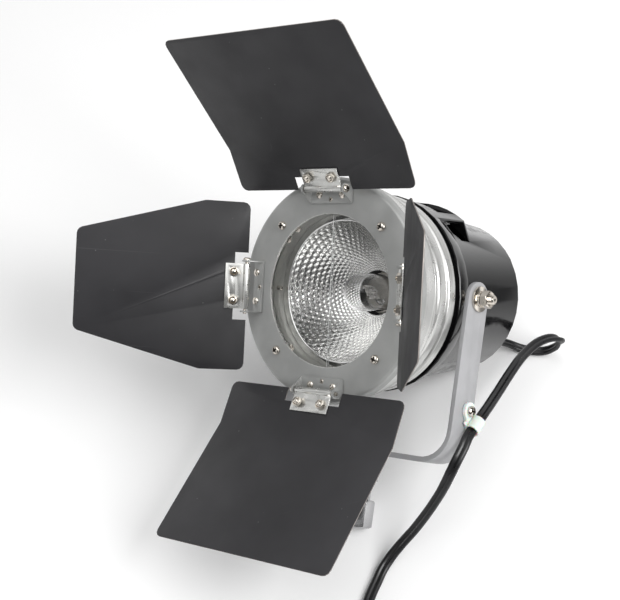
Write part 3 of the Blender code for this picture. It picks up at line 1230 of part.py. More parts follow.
def make_clip():
    """Strap clip: a loop round the cord and a tab under the screw."""
    radius = CORD_RADIUS + GAP + CLIP_STRAP / 2
    high = loop_height()
    join = GAP + CLIP_TAB_SHEET / 2
    start = asin(max(-1, (join - high) / radius))
    curl = arc(-CLIP_LOOP_ASIDE, high, radius, start + radians(12), start + radians(352), 14)
    path = [(-CLIP_LOOP_ASIDE + radius * 1.5, join), *curl]
    strap = ribbon_mesh("cord_clip", path, CLIP_STRAP_WIDTH, CLIP_STRAP)
    strap.transform(shift(x=CLIP_LOOP_ALONG))
    near = -CLIP_LOOP_ASIDE + radius * cos(start)
    half = CLIP_STRAP_WIDTH / 2
    tab_round = arc(0, 0, CLIP_TAB_RADIUS, radians(-10), radians(190), 10)
    tab = tab_round + [(CLIP_LOOP_ALONG - half, near), (CLIP_LOOP_ALONG + half, near)]
    plate = plate_mesh("clip_tab", [tab], CLIP_TAB_SHEET)
    bore = cylinder_mesh("tab_bore", CLIP_SCREW_RADIUS + HOLE_GAP, CLIP_TAB_SHEET * 2, TINY_STEPS)
    round_cord = cylinder_mesh("clip_bore", CORD_RADIUS + GAP, 4 * CLIP_STRAP_WIDTH, 20)
    through = shift(-2 * CLIP_STRAP_WIDTH, -CLIP_LOOP_ASIDE, high) @ TO_RIGHT
    tools = [(plate, shift(z=join), "UNION"), (bore, shift(z=-CLIP_TAB_SHEET / 2), "DIFFERENCE"),
             (round_cord, through, "DIFFERENCE")]
    add("cord_clip", combined("cord_clip", strap, tools), clip_frame(), "nylon")
    seat = GAP + CLIP_TAB_SHEET + GAP
    profile = pan_head(CLIP_SCREW_HEAD_RADIUS, CLIP_SCREW_HEAD_HEIGHT, seat)
    profile += [(CLIP_SCREW_RADIUS, seat), (CLIP_SCREW_RADIUS, -YOKE_BAR - 2 * MM),
                (0, -YOKE_BAR - 2 * MM)]
    add("clip_screw", turned_mesh("clip_screw", profile, steps=SMALL_STEPS), clip_screw_frame(),
        "nickel")


# mains cord
def smooth_route(points, step):
    """Evenly spaced points on a smooth curve through a route's own points."""
    ends = [2 * points[0] - points[1]] + points + [2 * points[-1] - points[-2]]
    fine = []
    for a, b, c, d in zip(ends, ends[1:], ends[2:], ends[3:]):
        for i in range(24):
            t = i / 24
            fine.append(0.5 * ((2 * b) + (c - a) * t + (2 * a - 5 * b + 4 * c - d) * t ** 2
                               + (3 * b - a - 3 * c + d) * t ** 3))
    fine.append(points[-1])
    length = sum((q - p).length for p, q in zip(fine, fine[1:]))
    count = max(2, ceil(length / step))
    even = [fine[0]]
    walked = 0.0
    for p, q in zip(fine, fine[1:]):
        piece = (q - p).length
        while len(even) < count and walked + piece >= length * len(even) / count:
            share = (length * len(even) / count - walked) / piece
            even.append(p + (q - p) * share)
        walked += piece
    even.append(fine[-1])
    return even


def make_tube(name, points, resolution):
    """Round cord along points in the table's frame."""
    curve = bpy.data.curves.new(name, "CURVE")
    curve.dimensions = "3D"
    curve.bevel_depth = CORD_RADIUS
    curve.bevel_resolution = resolution
    curve.use_fill_caps = True
    spline = curve.splines.new("POLY")
    spline.points.add(len(points) - 1)
    for spot, point in zip(spline.points, points):
        spot.co = (*point, 1)
    return add(name, curve, Matrix.Identity(4), "cord_black")


def clip_ends():
    """Where the cord enters and leaves the clip, and its direction there."""
    middle = clip_frame() @ shift(CLIP_LOOP_ALONG, -CLIP_LOOP_ASIDE, loop_height())
    along = (middle.to_3x3() @ Vector((-1, 0, 0))).normalized()
    return middle.translation, along


def laid_route(base, offsets):
    """Points of a route given as millimetres from a base, none of them below the table."""
    points = [base + Vector(offset) * MM for offset in offsets]
    return [Vector((x, y, max(z, CORD_FLOOR))) for x, y, z in points]


def make_cord():
    """Lead from the gland to the clip, and the tail from the clip over the table."""
    straight = 2 * CORD_RADIUS
    gland = gland_frame()
    out = (gland.to_3x3() @ Vector((0, 0, 1))).normalized()
    mouth = gland @ Vector((0, 0, GAP + GLAND_OUT + GAP))
    middle, along = clip_ends()
    start = [mouth, mouth + out * straight]
    route = laid_route(mouth, ROUTE_FROM_GLAND) + laid_route(middle, ROUTE_TO_CLIP)
    at_clip = [middle - along * straight * 1.5, middle - along * straight / 2]
    joint = middle + along * straight / 2
    lead = smooth_route(start + route + at_clip, CORD_STEP)
    make_tube("cord_lead", lead + [joint], 2)
    tail_start = [joint + along * GAP, joint + along * (GAP + straight)]
    route = laid_route(middle, ROUTE_FROM_CLIP)
    turns, plug = coil_points(middle)
    heading = (turns[1] - turns[0]).normalized()
    end = turns[0] - heading * GAP
    tail = smooth_route(tail_start + route + [end - heading * straight, end], CORD_STEP)
    make_tube("cord_tail", tail, 2)
    make_tube("cord_coil", turns, 1)
    make_plug(plug)


def coil_points(base):
    """Points of the coil: in and out again in two layers, then straight on to the plug."""
    half_loops = COIL_LOOPS // 2
    reach = COIL_PITCH * half_loops
    wide = COIL_MIDDLE_RADIUS + reach / 2
    centre = Vector((base.x + COIL_ASIDE[0] * MM, base.y + COIL_ASIDE[1] * MM, CORD_FLOOR))
    points = []
    count = half_loops * COIL_STEPS
    for i in range(count + 1):
        angle = -2 * pi * i / COIL_STEPS
        radius = wide - COIL_PITCH * i / COIL_STEPS
        points.append(centre + Vector((radius * cos(angle), radius * sin(angle), 0)))
    narrow = wide - reach
    climb = COIL_STEPS // 2
    for i in range(1, climb + 1):
        angle = -2 * pi * (count + i) / COIL_STEPS
        height = COIL_RISE * (1 - cos(pi * i / climb)) / 2
        radius = narrow - COIL_PITCH * sin(pi * i / climb) / 4
        points.append(centre + Vector((radius * cos(angle), radius * sin(angle), height)))
    for i in range(1, count - climb + 1):
        angle = -2 * pi * (count + climb + i) / COIL_STEPS
        radius = narrow + COIL_PITCH * i / COIL_STEPS
        points.append(centre + Vector((radius * cos(angle), radius * sin(angle), COIL_RISE)))
    least = least_gap(points)
    print(f"coil: least gap between its turns {least / MM:.2f} mm")
    before = (points[0] - points[1]).normalized()
    lead_in = [points[0] + before * CORD_RADIUS * 4, points[0] + before * CORD_RADIUS * 2]
    after = (points[-1] - points[-2]).normalized()
    last = points[-1]
    drop = COIL_RISE + CORD_FLOOR - PLUG_HEIGHT / 2
    out = [last + after * (COIL_FALL_STEP * (i + 1)) - Vector((0, 0, drop * share))
           for i, share in enumerate(COIL_FALL)]
    return lead_in + points + out, (out[-1], after)


def least_gap(points):
    """Least clear distance between turns that aren't neighbours along the cord."""
    apart = COIL_STEPS // 2
    best = min((points[i] - points[j]).length
               for i in range(len(points)) for j in range(i + apart, len(points)))
    return best - 2 * CORD_RADIUS


def make_plug(place):
    """Plug with two flat blades, lying where the cord ends."""
    point, heading = place
    up = Vector((0, 0, 1))
    frame = Matrix((up.cross(heading), up, heading)).transposed().to_4x4()
    frame.translation = point + heading * GAP
    neck = cylinder_mesh("plug", PLUG_NECK_RADIUS * 0.8, PLUG_NECK + 2 * MM, SMALL_STEPS, PLUG_NECK_RADIUS)
    body_loop = rounded([(-PLUG_WIDTH / 2, 0), (PLUG_WIDTH / 2, 0),
                         (PLUG_WIDTH / 2, PLUG_LENGTH), (-PLUG_WIDTH / 2, PLUG_LENGTH)],
                        [PLUG_CORNER_RADIUS] * 2 + [PLUG_CORNER_RADIUS / 4] * 2)
    body = plate_mesh("plug_body", [body_loop], PLUG_HEIGHT)
    flat = turn(pi / 2, "X")
    blade = box_mesh("blade", (BLADE_SHEET, BLADE_WIDTH, BLADE_LENGTH + 2 * MM),
                     (0, 0, BLADE_LENGTH / 2 - 1 * MM))
    tip = PLUG_NECK + PLUG_LENGTH
    tools = [(body, shift(z=PLUG_NECK) @ flat, "UNION")]
    tools += [(blade, shift(s * BLADE_SPREAD / 2, 0, tip), "UNION") for s in (-1, 1)]
    add("plug", combined("plug", neck, tools), frame, "matt_black")


def centre_on_table():
    """Moves the whole lamp so that the origin is under the middle of its bounding box."""
    bpy.context.view_layer.update()
    graph = bpy.context.evaluated_depsgraph_get()
    low = Vector((inf, inf, inf))
    high = -low
    for item in parts.objects:
        if item == root or item.name in CORD_PIECES:
            continue
        shown = item.evaluated_get(graph)
        for vertex in shown.to_mesh().vertices:
            point = item.matrix_world @ vertex.co
            low = Vector(map(min, low, point))
            high = Vector(map(max, high, point))
        shown.to_mesh_clear()
    root.location = (-(low.x + high.x) / 2, -(low.y + high.y) / 2, 0)
    bpy.context.view_layer.update()
    print("lamp without its cord:", [round(v / MM, 1) for v in high - low], "mm, lowest point",
          round(low.z / MM, 3), "mm")


clear_scene()
parts = new_collection(NAME)
cutters = new_collection("cutters")
root = bpy.data.objects.new("lamp_on_table", None)
parts.objects.link(root)
rest = resting_frame()
make_ring()
make_ring_screws()
make_barn_door()
make_barrel()
make_side_screw()
make_glass()
make_glass_clips()
make_reflector()
make_bulb()
make_base_and_socket()
make_socket_bridge()
make_collar()
make_housing()
make_rear_cap()
make_gland()
make_yoke()
make_tilt_joint()
make_spigot()
make_clip()
make_cord()
centre_on_table()
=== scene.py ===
"""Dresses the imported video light: finer pieces, finishes, cord, camera, floor and light."""
import json
from math import acos, atan2, ceil, cos, hypot, pi, radians, sin, sqrt

import bpy
import numpy as np
from mathutils import Matrix, Vector


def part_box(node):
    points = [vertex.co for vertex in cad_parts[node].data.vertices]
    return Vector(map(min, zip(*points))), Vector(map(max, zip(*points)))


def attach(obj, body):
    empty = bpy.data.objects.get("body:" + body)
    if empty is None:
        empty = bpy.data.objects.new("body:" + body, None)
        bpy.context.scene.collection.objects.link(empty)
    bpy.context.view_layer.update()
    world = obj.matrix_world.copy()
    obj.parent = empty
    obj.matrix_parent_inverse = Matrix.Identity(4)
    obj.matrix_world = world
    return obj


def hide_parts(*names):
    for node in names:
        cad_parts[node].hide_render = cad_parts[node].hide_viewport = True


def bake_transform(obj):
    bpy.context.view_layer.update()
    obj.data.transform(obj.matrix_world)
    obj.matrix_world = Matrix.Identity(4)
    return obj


bl_info = {
    "name": "Video light",
    "version": (1, 0, 0),
    "blender": (4, 5, 0),
    "location": "View3D > Sidebar > Video light",
    "description": "Builds the pieces, finishes, cord and stage of a video light with barn doors",
    "category": "Object",
}

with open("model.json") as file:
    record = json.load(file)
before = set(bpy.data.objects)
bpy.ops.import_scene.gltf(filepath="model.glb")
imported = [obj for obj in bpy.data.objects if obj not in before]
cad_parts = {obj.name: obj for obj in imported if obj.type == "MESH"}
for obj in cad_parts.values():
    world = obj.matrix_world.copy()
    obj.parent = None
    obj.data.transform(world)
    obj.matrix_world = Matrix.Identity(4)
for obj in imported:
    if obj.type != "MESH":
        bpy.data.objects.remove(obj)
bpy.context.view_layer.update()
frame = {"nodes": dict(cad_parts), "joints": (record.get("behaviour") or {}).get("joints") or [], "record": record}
JOINTS = {joint["name"]: joint for joint in frame["joints"]}
MM = 0.001

HINGE_STANDOFF = 7.8 * MM
HINGE_RADIUS = 63.2 * MM
RING_RADIUS = 71.45 * MM
OPENING_RADIUS = 48.15 * MM
SCREW_CIRCLE = 57.0 * MM
YOKE_WIDTH = 140.2 * MM
YOKE_DROP = 106.0 * MM
YOKE_LEAN = radians(8.4)
PIVOT = (0.0, 64.9 * MM, -0.8 * MM)
CORD_RADIUS = 3.3 * MM
CORD_WIDTH = 7.0 * MM
CORD_THICKNESS = 3.6 * MM
CORD_STEP = 7.0 * MM
DIMPLES_AROUND = 56
DIMPLE_STEPS = 6
PIN_HEAD_AT = 17.3 * MM
RIVET_ASIDE = 9.3 * MM
RIVET_PLACE = 3.2 * MM
BRACKET_FACE = 6.5 * MM

# studio cards: way to the card, cosines of its soft edge and its full part, brightness
CARDS = (
    ((-0.3, -0.2, 0.93), 0.72, 0.95, 0.85),
    ((0.6, -0.4, 0.7), 0.85, 0.95, 0.9),
    ((-0.75, -0.6, 0.1), 0.8, 1.0, 0.85),
    ((-0.85, 0.5, 0.2), 0.78, 0.97, 0.95),
    ((0.3, 0.9, 0.2), 0.5, 0.95, 0.7),
)

GLAND_PLACE = (22.0 * MM, 141.2 * MM, -30.5 * MM)
GLAND_MOUTH = 16.6 * MM
ROUTE_FROM_GLAND = (
    (12.7, 5.8, -11.0), (21.1, 5.0, -14.7), (30.3, 2.8, -15.6), (38.7, 1.6, -14.8),
    (44.9, 0.4, -10.6), (48.0, -1.4, -3.4), (46.6, -4.1, 5.0), (40.5, -7.6, 11.8),
)
ROUTE_TO_CLIP = (
    (54.8, 93.0, -38.2), (46.8, 85.2, -35.0), (37.6, 72.2, -29.8), (28.1, 54.8, -22.8),
    (18.9, 36.1, -14.6), (11.0, 19.9, -6.8),
)
ROUTE_FROM_CLIP = (
    (-8.5, -15.3, -0.1), (-13.1, -22.8, -3.4), (-17.4, -28.2, -10.6), (-21.8, -32.0, -21.0),
    (-26.7, -34.5, -32.5), (-32.8, -37.8, -43.8), (-40.4, -42.3, -54.4), (-49.0, -47.9, -62.8),
    (-57.2, -55.6, -68.0), (-63.7, -66.0, -70.1), (-73.2, -92.7, -70.4),
)
COIL_ASIDE = (-128.7, -154.7)
COIL_LOOPS = 8
COIL_STEPS = 24
COIL_MIDDLE_RADIUS = 39.0 * MM
COIL_PITCH = 7.4 * MM
COIL_RISE = 3.9 * MM
CORD_FLOOR = 1.9 * MM


# places
def turn(angle, axis):
    """Rotation about one of the axes."""
    return Matrix.Rotation(angle, 4, axis)


def shift(x=0.0, y=0.0, z=0.0):
    """Translation."""
    return Matrix.Translation((x, y, z))


def head_frame():
    """Frame of the head: x to the right, y to the rear, z up, origin on the ring's face."""
    top, bottom, left = (JOINTS[f"door_{side}_hinge"] for side in ("top", "bottom", "left"))
    x, z = Vector(top["axis"]).normalized(), Vector(left["axis"]).normalized()
    y = z.cross(x).normalized()
    made = Matrix((x, y, x.cross(y))).transposed().to_4x4()
    middle = (Vector(top["pos_m"]) + Vector(bottom["pos_m"])) / 2
    made.translation = middle + y * HINGE_STANDOFF
    return made


HEAD = head_frame()
ALONG = turn(radians(-90), "X")
FORWARD = turn(radians(90), "X")
TO_RIGHT = turn(radians(90), "Y")
YOKE = HEAD @ shift(*PIVOT) @ turn(-YOKE_LEAN, "X")
LATHE = HEAD @ ALONG
BULB_TURN = LATHE @ turn(radians(50), "Z")


def hinge_frame(place):
    """Frame of a hinge: x along the pin, y away from the optical axis, z forward."""
    outward = Vector((cos(place), 0, sin(place)))
    forward = Vector((0, -1, 0))
    made = Matrix((outward.cross(forward), outward, forward)).transposed().to_4x4()
    made.translation = outward * HINGE_RADIUS + forward * HINGE_STANDOFF
    return HEAD @ made


# modelling by operators
def fresh(*chosen):
    """Object mode, with only the chosen pieces selected, the first of them active."""
    if bpy.context.object and bpy.context.object.mode != "OBJECT":
        bpy.ops.object.mode_set(mode="OBJECT")
    bpy.ops.object.select_all(action="DESELECT")
    for item in chosen:
        item.select_set(True)
    if chosen:
        bpy.context.view_layer.objects.active = chosen[0]


def settle(item, place, angle=35):
    """Moves a piece to its place and puts that place into its mesh; shades it."""
    fresh(item)
    item.matrix_world = place @ item.matrix_world
    bpy.ops.object.transform_apply(location=True, rotation=True, scale=True)
    bpy.ops.object.shade_smooth_by_angle(angle=radians(angle))
    return item


def apply(item, kind, **settings):
    """Adds a modifier and applies it."""
    fresh(item)
    made = item.modifiers.new(kind.title(), kind)
    for key, value in settings.items():
        setattr(made, key, value)
    bpy.ops.object.modifier_apply(modifier=made.name)
    return item


def bevel(item, width, segments=2, angle=40):
    """Rounds a piece's edges."""
    return apply(item, "BEVEL", width=width, segments=segments, limit_method="ANGLE",
                 angle_limit=radians(angle))


def profile_loop(name, points):
    """A circle's vertices set along a profile in the xz plane."""
    fresh()
    bpy.ops.mesh.primitive_circle_add(vertices=len(points), radius=1, fill_type="NOTHING")
    item = bpy.context.object
    item.name = item.data.name = name
    for vertex, (x, z) in zip(item.data.vertices, points):
        vertex.co = (x, 0, z)
    return item


def turned(name, points, place, steps=96, closed=False, angle=35):
    """Turned piece: a profile of radius and height spun about z."""
    item = profile_loop(name, points)
    bpy.ops.object.mode_set(mode="EDIT")
    if not closed:
        bpy.ops.mesh.select_all(action="DESELECT")
        bpy.ops.object.mode_set(mode="OBJECT")
        last = len(points) - 1
        for edge in item.data.edges:
            edge.select = set(edge.vertices) == {0, last}
        bpy.ops.object.mode_set(mode="EDIT")
        bpy.ops.mesh.select_mode(type="EDGE")
        bpy.ops.mesh.delete(type="EDGE_FACE")
        bpy.ops.mesh.select_mode(type="VERT")
    bpy.ops.mesh.select_all(action="SELECT")
    bpy.ops.mesh.spin(steps=steps, angle=2 * pi, center=(0, 0, 0), axis=(0, 0, 1))
    bpy.ops.mesh.select_all(action="SELECT")
    bpy.ops.mesh.remove_doubles(threshold=1e-6)
    bpy.ops.mesh.normals_make_consistent(inside=False)
    return settle(item, place, angle)


def plate(name, points, height, place, angle=35):
    """Flat piece: an outline filled and raised along z."""
    fresh()
    bpy.ops.mesh.primitive_circle_add(vertices=len(points), radius=1, fill_type="NGON")
    item = bpy.context.object
    item.name = item.data.name = name
    for vertex, (x, y) in zip(item.data.vertices, points):
        vertex.co = (x, y, 0)
    bpy.ops.object.mode_set(mode="EDIT")
    bpy.ops.mesh.select_all(action="SELECT")
    bpy.ops.mesh.extrude_region_move(TRANSFORM_OT_translate={"value": (0, 0, height)})
    bpy.ops.mesh.select_all(action="SELECT")
    bpy.ops.mesh.normals_make_consistent(inside=False)
    return settle(item, place, angle)


def joined(name, *items):
    """Joins pieces into one."""
    fresh(*items)
    bpy.ops.object.join()
    item = bpy.context.object
    item.name = item.data.name = name
    return item


def carved(item, *tools, how="DIFFERENCE"):
    """Cuts tools out of a piece and removes them."""
    for tool in tools:
        apply(item, "BOOLEAN", operation=how, object=tool, solver="EXACT")
        bpy.data.objects.remove(tool, do_unlink=True)
    return item


def copied(item, name, place):
    """Copy of a piece with its own mesh, moved to another place."""
    fresh(item)
    bpy.ops.object.duplicate(linked=False)
    made = bpy.context.object
    made.name = made.data.name = name
    return settle(made, place)


def refined(node, width=0.2, angle=38, segments=2):
    """Copy of a CAD node as clean faces with its edges rounded."""
    source = frame["nodes"][node]
    item = source.copy()
    item.data = source.data.copy()
    bpy.context.scene.collection.objects.link(item)
    item.parent = None
    for key in [key for key in item.keys() if key.startswith("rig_")]:
        del item[key]
    item.name = item.data.name = f"{node}_shown"
    fresh(item)
    if item.data.has_custom_normals:
        bpy.ops.mesh.customdata_custom_splitnormals_clear()
    bpy.ops.object.mode_set(mode="EDIT")
    bpy.ops.mesh.select_all(action="SELECT")
    bpy.ops.mesh.remove_doubles(threshold=2e-6)
    bpy.ops.mesh.dissolve_limited(angle_limit=radians(0.6))
    bpy.ops.object.mode_set(mode="OBJECT")
    if width:
        bevel(item, width * MM, segments, angle)
    return settle(item, Matrix.Identity(4), angle)


def shown(item, body, slot, *nodes):
    """Gives a finished piece its body, its finish and the nodes it stands for."""
    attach(item, body)
    paint(item, slot)
    if nodes:
        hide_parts(*nodes)
    return item


def arc(cx, cz, radius, start, end, steps):
    """Points of an arc, both ends included."""
    return [(cx + radius * cos(start + (end - start) * i / steps),
             cz + radius * sin(start + (end - start) * i / steps)) for i in range(steps + 1)]


def rounded(points, radius, steps=3):
    """Profile with its inner corners rounded."""
    result = [points[0]]
    for a, b, c in zip(points, points[1:], points[2:]):
        a, b, c = Vector(a), Vector(b), Vector(c)
        before, after = a - b, c - b
        reach = min(radius, before.length * 0.45, after.length * 0.45)
        p, q = b + before.normalized() * reach, b + after.normalized() * reach
        for i in range(steps + 1):
            t = i / steps
            result.append(tuple(p * (1 - t) ** 2 + b * (2 * t * (1 - t)) + q * t ** 2))
    return result + [points[-1]]


# finishes
def add_node(tree, kind, inputs=None, **settings):
    """Adds a shader node; an input is a number, a colour or another node's output."""
    made = tree.nodes.new(kind)
    for key, value in settings.items():
        setattr(made, key, value)
    for key, value in (inputs or {}).items():
        if isinstance(value, bpy.types.NodeSocket):
            tree.links.new(value, made.inputs[key])
        else:
            made.inputs[key].default_value = value
    return made


def shade(colour, factor):
    """A colour made lighter or darker."""
    return (*[min(1.0, part * factor) for part in colour[:3]], 1)


def start_finish(name, roughness, metallic, **constants):
    """New material with its shader; constants are set on the shader's own sockets."""
    made = bpy.data.materials.new(name)
    made.use_nodes = True
    tree = made.node_tree
    shader = tree.nodes["Principled BSDF"]
    shader.inputs["Metallic"].default_value = metallic
    shader.inputs["Roughness"].default_value = roughness
    for key, value in constants.items():
        shader.inputs[key.replace("_", " ")].default_value = value
    return made, tree, shader


def mottle(tree, place, low, high, scale, detail=4.0, spread=(0.35, 0.65)):
    """Blends between two colours by a noise."""
    noise = add_node(tree, "ShaderNodeTexNoise", {"Vector": place, "Scale": scale, "Detail": detail})
    share = add_node(tree, "ShaderNodeMapRange", {
        "Value": noise.outputs["Fac"], "From Min": spread[0], "From Max": spread[1]})
    mix = add_node(tree, "ShaderNodeMix", {0: share.outputs[0], 6: low, 7: high}, data_type="RGBA")
    return mix.outputs[2]


def vary(tree, place, low, high, scale, detail=3.0):
    """A number that wanders between two values by a noise."""
    noise = add_node(tree, "ShaderNodeTexNoise", {"Vector": place, "Scale": scale, "Detail": detail})
    return add_node(tree, "ShaderNodeMapRange", {
        "Value": noise.outputs["Fac"], "From Min": 0.3, "From Max": 0.7,
        "To Min": low, "To Max": high}).outputs[0]


def relief(tree, height, strength, distance, below=None):
    """Bump from a height, on top of another bump."""
    inputs = {"Height": height, "Strength": strength, "Distance": distance}
    if below:
        inputs["Normal"] = below
    return add_node(tree, "ShaderNodeBump", inputs).outputs[0]


def painted_finish(name, colour, roughness, grain, metallic=0.0, **constants):
    """Sprayed paint: faint clouds, orange peel and a fine grain."""
    made, tree, shader = start_finish(name, roughness, metallic, **constants)
    place = add_node(tree, "ShaderNodeTexCoord").outputs["Object"]
    tint = mottle(tree, place, shade(colour, 0.93), shade(colour, 1.06), 55.0)
    tree.links.new(tint, shader.inputs["Base Color"])
    tree.links.new(vary(tree, place, roughness - 0.06, roughness + 0.07, 160.0), shader.inputs["Roughness"])
    peel = add_node(tree, "ShaderNodeTexNoise", {"Vector": place, "Scale": 900.0, "Detail": 2.0})
    coarse = relief(tree, peel.outputs["Fac"], grain, 0.00012)
    tree.links.new(coarse, shader.inputs["Normal"])
    return made


def coated_sheet_finish(name, colour, roughness):
    """Matte black baked coating with fine specks, dust and a few long scratches."""
    made, tree, shader = start_finish(name, roughness, 0.0, Specular_IOR_Level=0.45)
    place = add_node(tree, "ShaderNodeTexCoord").outputs["Object"]
    base = mottle(tree, place, shade(colour, 0.85), shade(colour, 1.2), 24.0, 6.0)
    dust = add_node(tree, "ShaderNodeTexVoronoi", {"Vector": place, "Scale": 210.0})
    speck = add_node(tree, "ShaderNodeMapRange", {
        "Value": dust.outputs["Distance"], "From Min": 0.045, "From Max": 0.09, "To Min": 1.0, "To Max": 0.0})
    rare = add_node(tree, "ShaderNodeTexNoise", {"Vector": place, "Scale": 70.0, "Detail": 1.0})
    few = add_node(tree, "ShaderNodeMapRange", {
        "Value": rare.outputs["Fac"], "From Min": 0.6, "From Max": 0.66})
    spots = add_node(tree, "ShaderNodeMath", {0: speck.outputs[0], 1: few.outputs[0]}, operation="MULTIPLY")
    stretched = add_node(tree, "ShaderNodeMapping", {
        "Vector": place, "Rotation": (0.7, 0.3, 0.9), "Scale": (7.0, 900.0, 60.0)})
    line = add_node(tree, "ShaderNodeTexNoise", {"Vector": stretched.outputs[0], "Scale": 1.0, "Detail": 1.0})
    scratch = add_node(tree, "ShaderNodeMapRange", {
        "Value": line.outputs["Fac"], "From Min": 0.76, "From Max": 0.82, "To Max": 0.12})
    marks = add_node(tree, "ShaderNodeMath", {0: spots.outputs[0], 1: scratch.outputs[0]}, operation="MAXIMUM")
    mix = add_node(tree, "ShaderNodeMix", {0: marks.outputs[0], 6: base, 7: (0.16, 0.16, 0.165, 1)},
                   data_type="RGBA")
    tree.links.new(mix.outputs[2], shader.inputs["Base Color"])
    tree.links.new(vary(tree, place, roughness - 0.07, roughness + 0.08, 40.0), shader.inputs["Roughness"])
    tooth = add_node(tree, "ShaderNodeTexNoise", {"Vector": place, "Scale": 2600.0, "Detail": 2.0})
    tree.links.new(relief(tree, tooth.outputs["Fac"], 0.25, 0.00008), shader.inputs["Normal"])
    return made


def metal_finish(name, colour, roughness, grain=0.12, metallic=1.0, clean=0.86, **constants):
    """Plated or pressed metal: small stains and a fine uneven surface."""
    made, tree, shader = start_finish(name, roughness, metallic, **constants)
    place = add_node(tree, "ShaderNodeTexCoord").outputs["Object"]
    tint = mottle(tree, place, shade(colour, clean), shade(colour, 1.05), 120.0, 5.0)
    tree.links.new(tint, shader.inputs["Base Color"])
    tree.links.new(vary(tree, place, roughness * 0.75, roughness * 1.3, 260.0), shader.inputs["Roughness"])
    rough = add_node(tree, "ShaderNodeTexNoise", {"Vector": place, "Scale": 1400.0, "Detail": 2.0})
    tree.links.new(relief(tree, rough.outputs["Fac"], grain, 0.00006), shader.inputs["Normal"])
    return made


def turned_finish(name, colour, roughness, metallic, lines, place_frame, depth=0.00003, **constants):
    """Metal turned on a lathe: fine rings about an axis, and faint stains."""
    made, tree, shader = start_finish(name, roughness, metallic, **constants)
    place = add_node(tree, "ShaderNodeTexCoord").outputs["Object"]
    back = place_frame.inverted()
    local = add_node(tree, "ShaderNodeMapping", {
        "Vector": place, "Location": tuple(back.translation), "Rotation": tuple(back.to_euler())})
    parts = add_node(tree, "ShaderNodeSeparateXYZ", {0: local.outputs[0]})
    flat = add_node(tree, "ShaderNodeVectorMath", {0: local.outputs[0], 1: (1, 1, 0)}, operation="MULTIPLY")
    radius = add_node(tree, "ShaderNodeVectorMath", {0: flat.outputs[0]}, operation="LENGTH")
    along = add_node(tree, "ShaderNodeMath", {0: radius.outputs["Value"], 1: parts.outputs["Z"]}, operation="SUBTRACT")
    ring = add_node(tree, "ShaderNodeTexNoise", {"W": along.outputs[0], "Scale": lines, "Detail": 3.0},
                    noise_dimensions="1D")
    tint = mottle(tree, place, shade(colour, 0.96), shade(colour, 1.02), 45.0, 5.0)
    darker = add_node(tree, "ShaderNodeMapRange", {
        "Value": ring.outputs["Fac"], "From Min": 0.3, "From Max": 0.7, "To Min": 0.88, "To Max": 1.0})
    shadowed = add_node(tree, "ShaderNodeVectorMath", {0: tint, "Scale": darker.outputs[0]}, operation="SCALE")
    tree.links.new(shadowed.outputs[0], shader.inputs["Base Color"])
    tree.links.new(vary(tree, place, roughness * 0.8, roughness * 1.25, 90.0), shader.inputs["Roughness"])
    tree.links.new(relief(tree, ring.outputs["Fac"], 0.5, depth), shader.inputs["Normal"])
    return made


def moulded_finish(name, colour, roughness, grain=0.2, scale=1800.0, **constants):
    """Moulded plastic, rubber or fired ceramic with a fine grain."""
    made, tree, shader = start_finish(name, roughness, 0.0, **constants)
    place = add_node(tree, "ShaderNodeTexCoord").outputs["Object"]
    tint = mottle(tree, place, shade(colour, 0.88), shade(colour, 1.1), 80.0, 4.0)
    tree.links.new(tint, shader.inputs["Base Color"])
    tree.links.new(vary(tree, place, roughness - 0.08, roughness + 0.08, 130.0), shader.inputs["Roughness"])
    tooth = add_node(tree, "ShaderNodeTexNoise", {"Vector": place, "Scale": scale, "Detail": 3.0})
    tree.links.new(relief(tree, tooth.outputs["Fac"], grain, 0.0001), shader.inputs["Normal"])
    return made


def glass_finish(name, colour, ior):
    """Clear glass with a faint haze of dust."""
    made, tree, shader = start_finish(name, 0.0, 0.0, Transmission_Weight=1.0, IOR=ior)
    place = add_node(tree, "ShaderNodeTexCoord").outputs["Object"]
    tree.links.new(mottle(tree, place, shade(colour, 0.99), shade(colour, 1.0), 60.0), shader.inputs["Base Color"])
    haze = add_node(tree, "ShaderNodeTexNoise", {"Vector": place, "Scale": 90.0, "Detail": 4.0})
    rough = add_node(tree, "ShaderNodeMapRange", {
        "Value": haze.outputs["Fac"], "From Min": 0.55, "From Max": 0.8, "To Max": 0.04})
    tree.links.new(rough.outputs[0], shader.inputs["Roughness"])
    return made


def cut_finish():
    """Polished cut of the glass, which light crosses without a trace."""
    made, tree, shader = start_finish("glass_cut", 0.1, 0.0, Alpha=0.0)
    place = add_node(tree, "ShaderNodeTexCoord").outputs["Object"]
    tree.links.new(vary(tree, place, 0.05, 0.15, 200.0), shader.inputs["Roughness"])
    return made


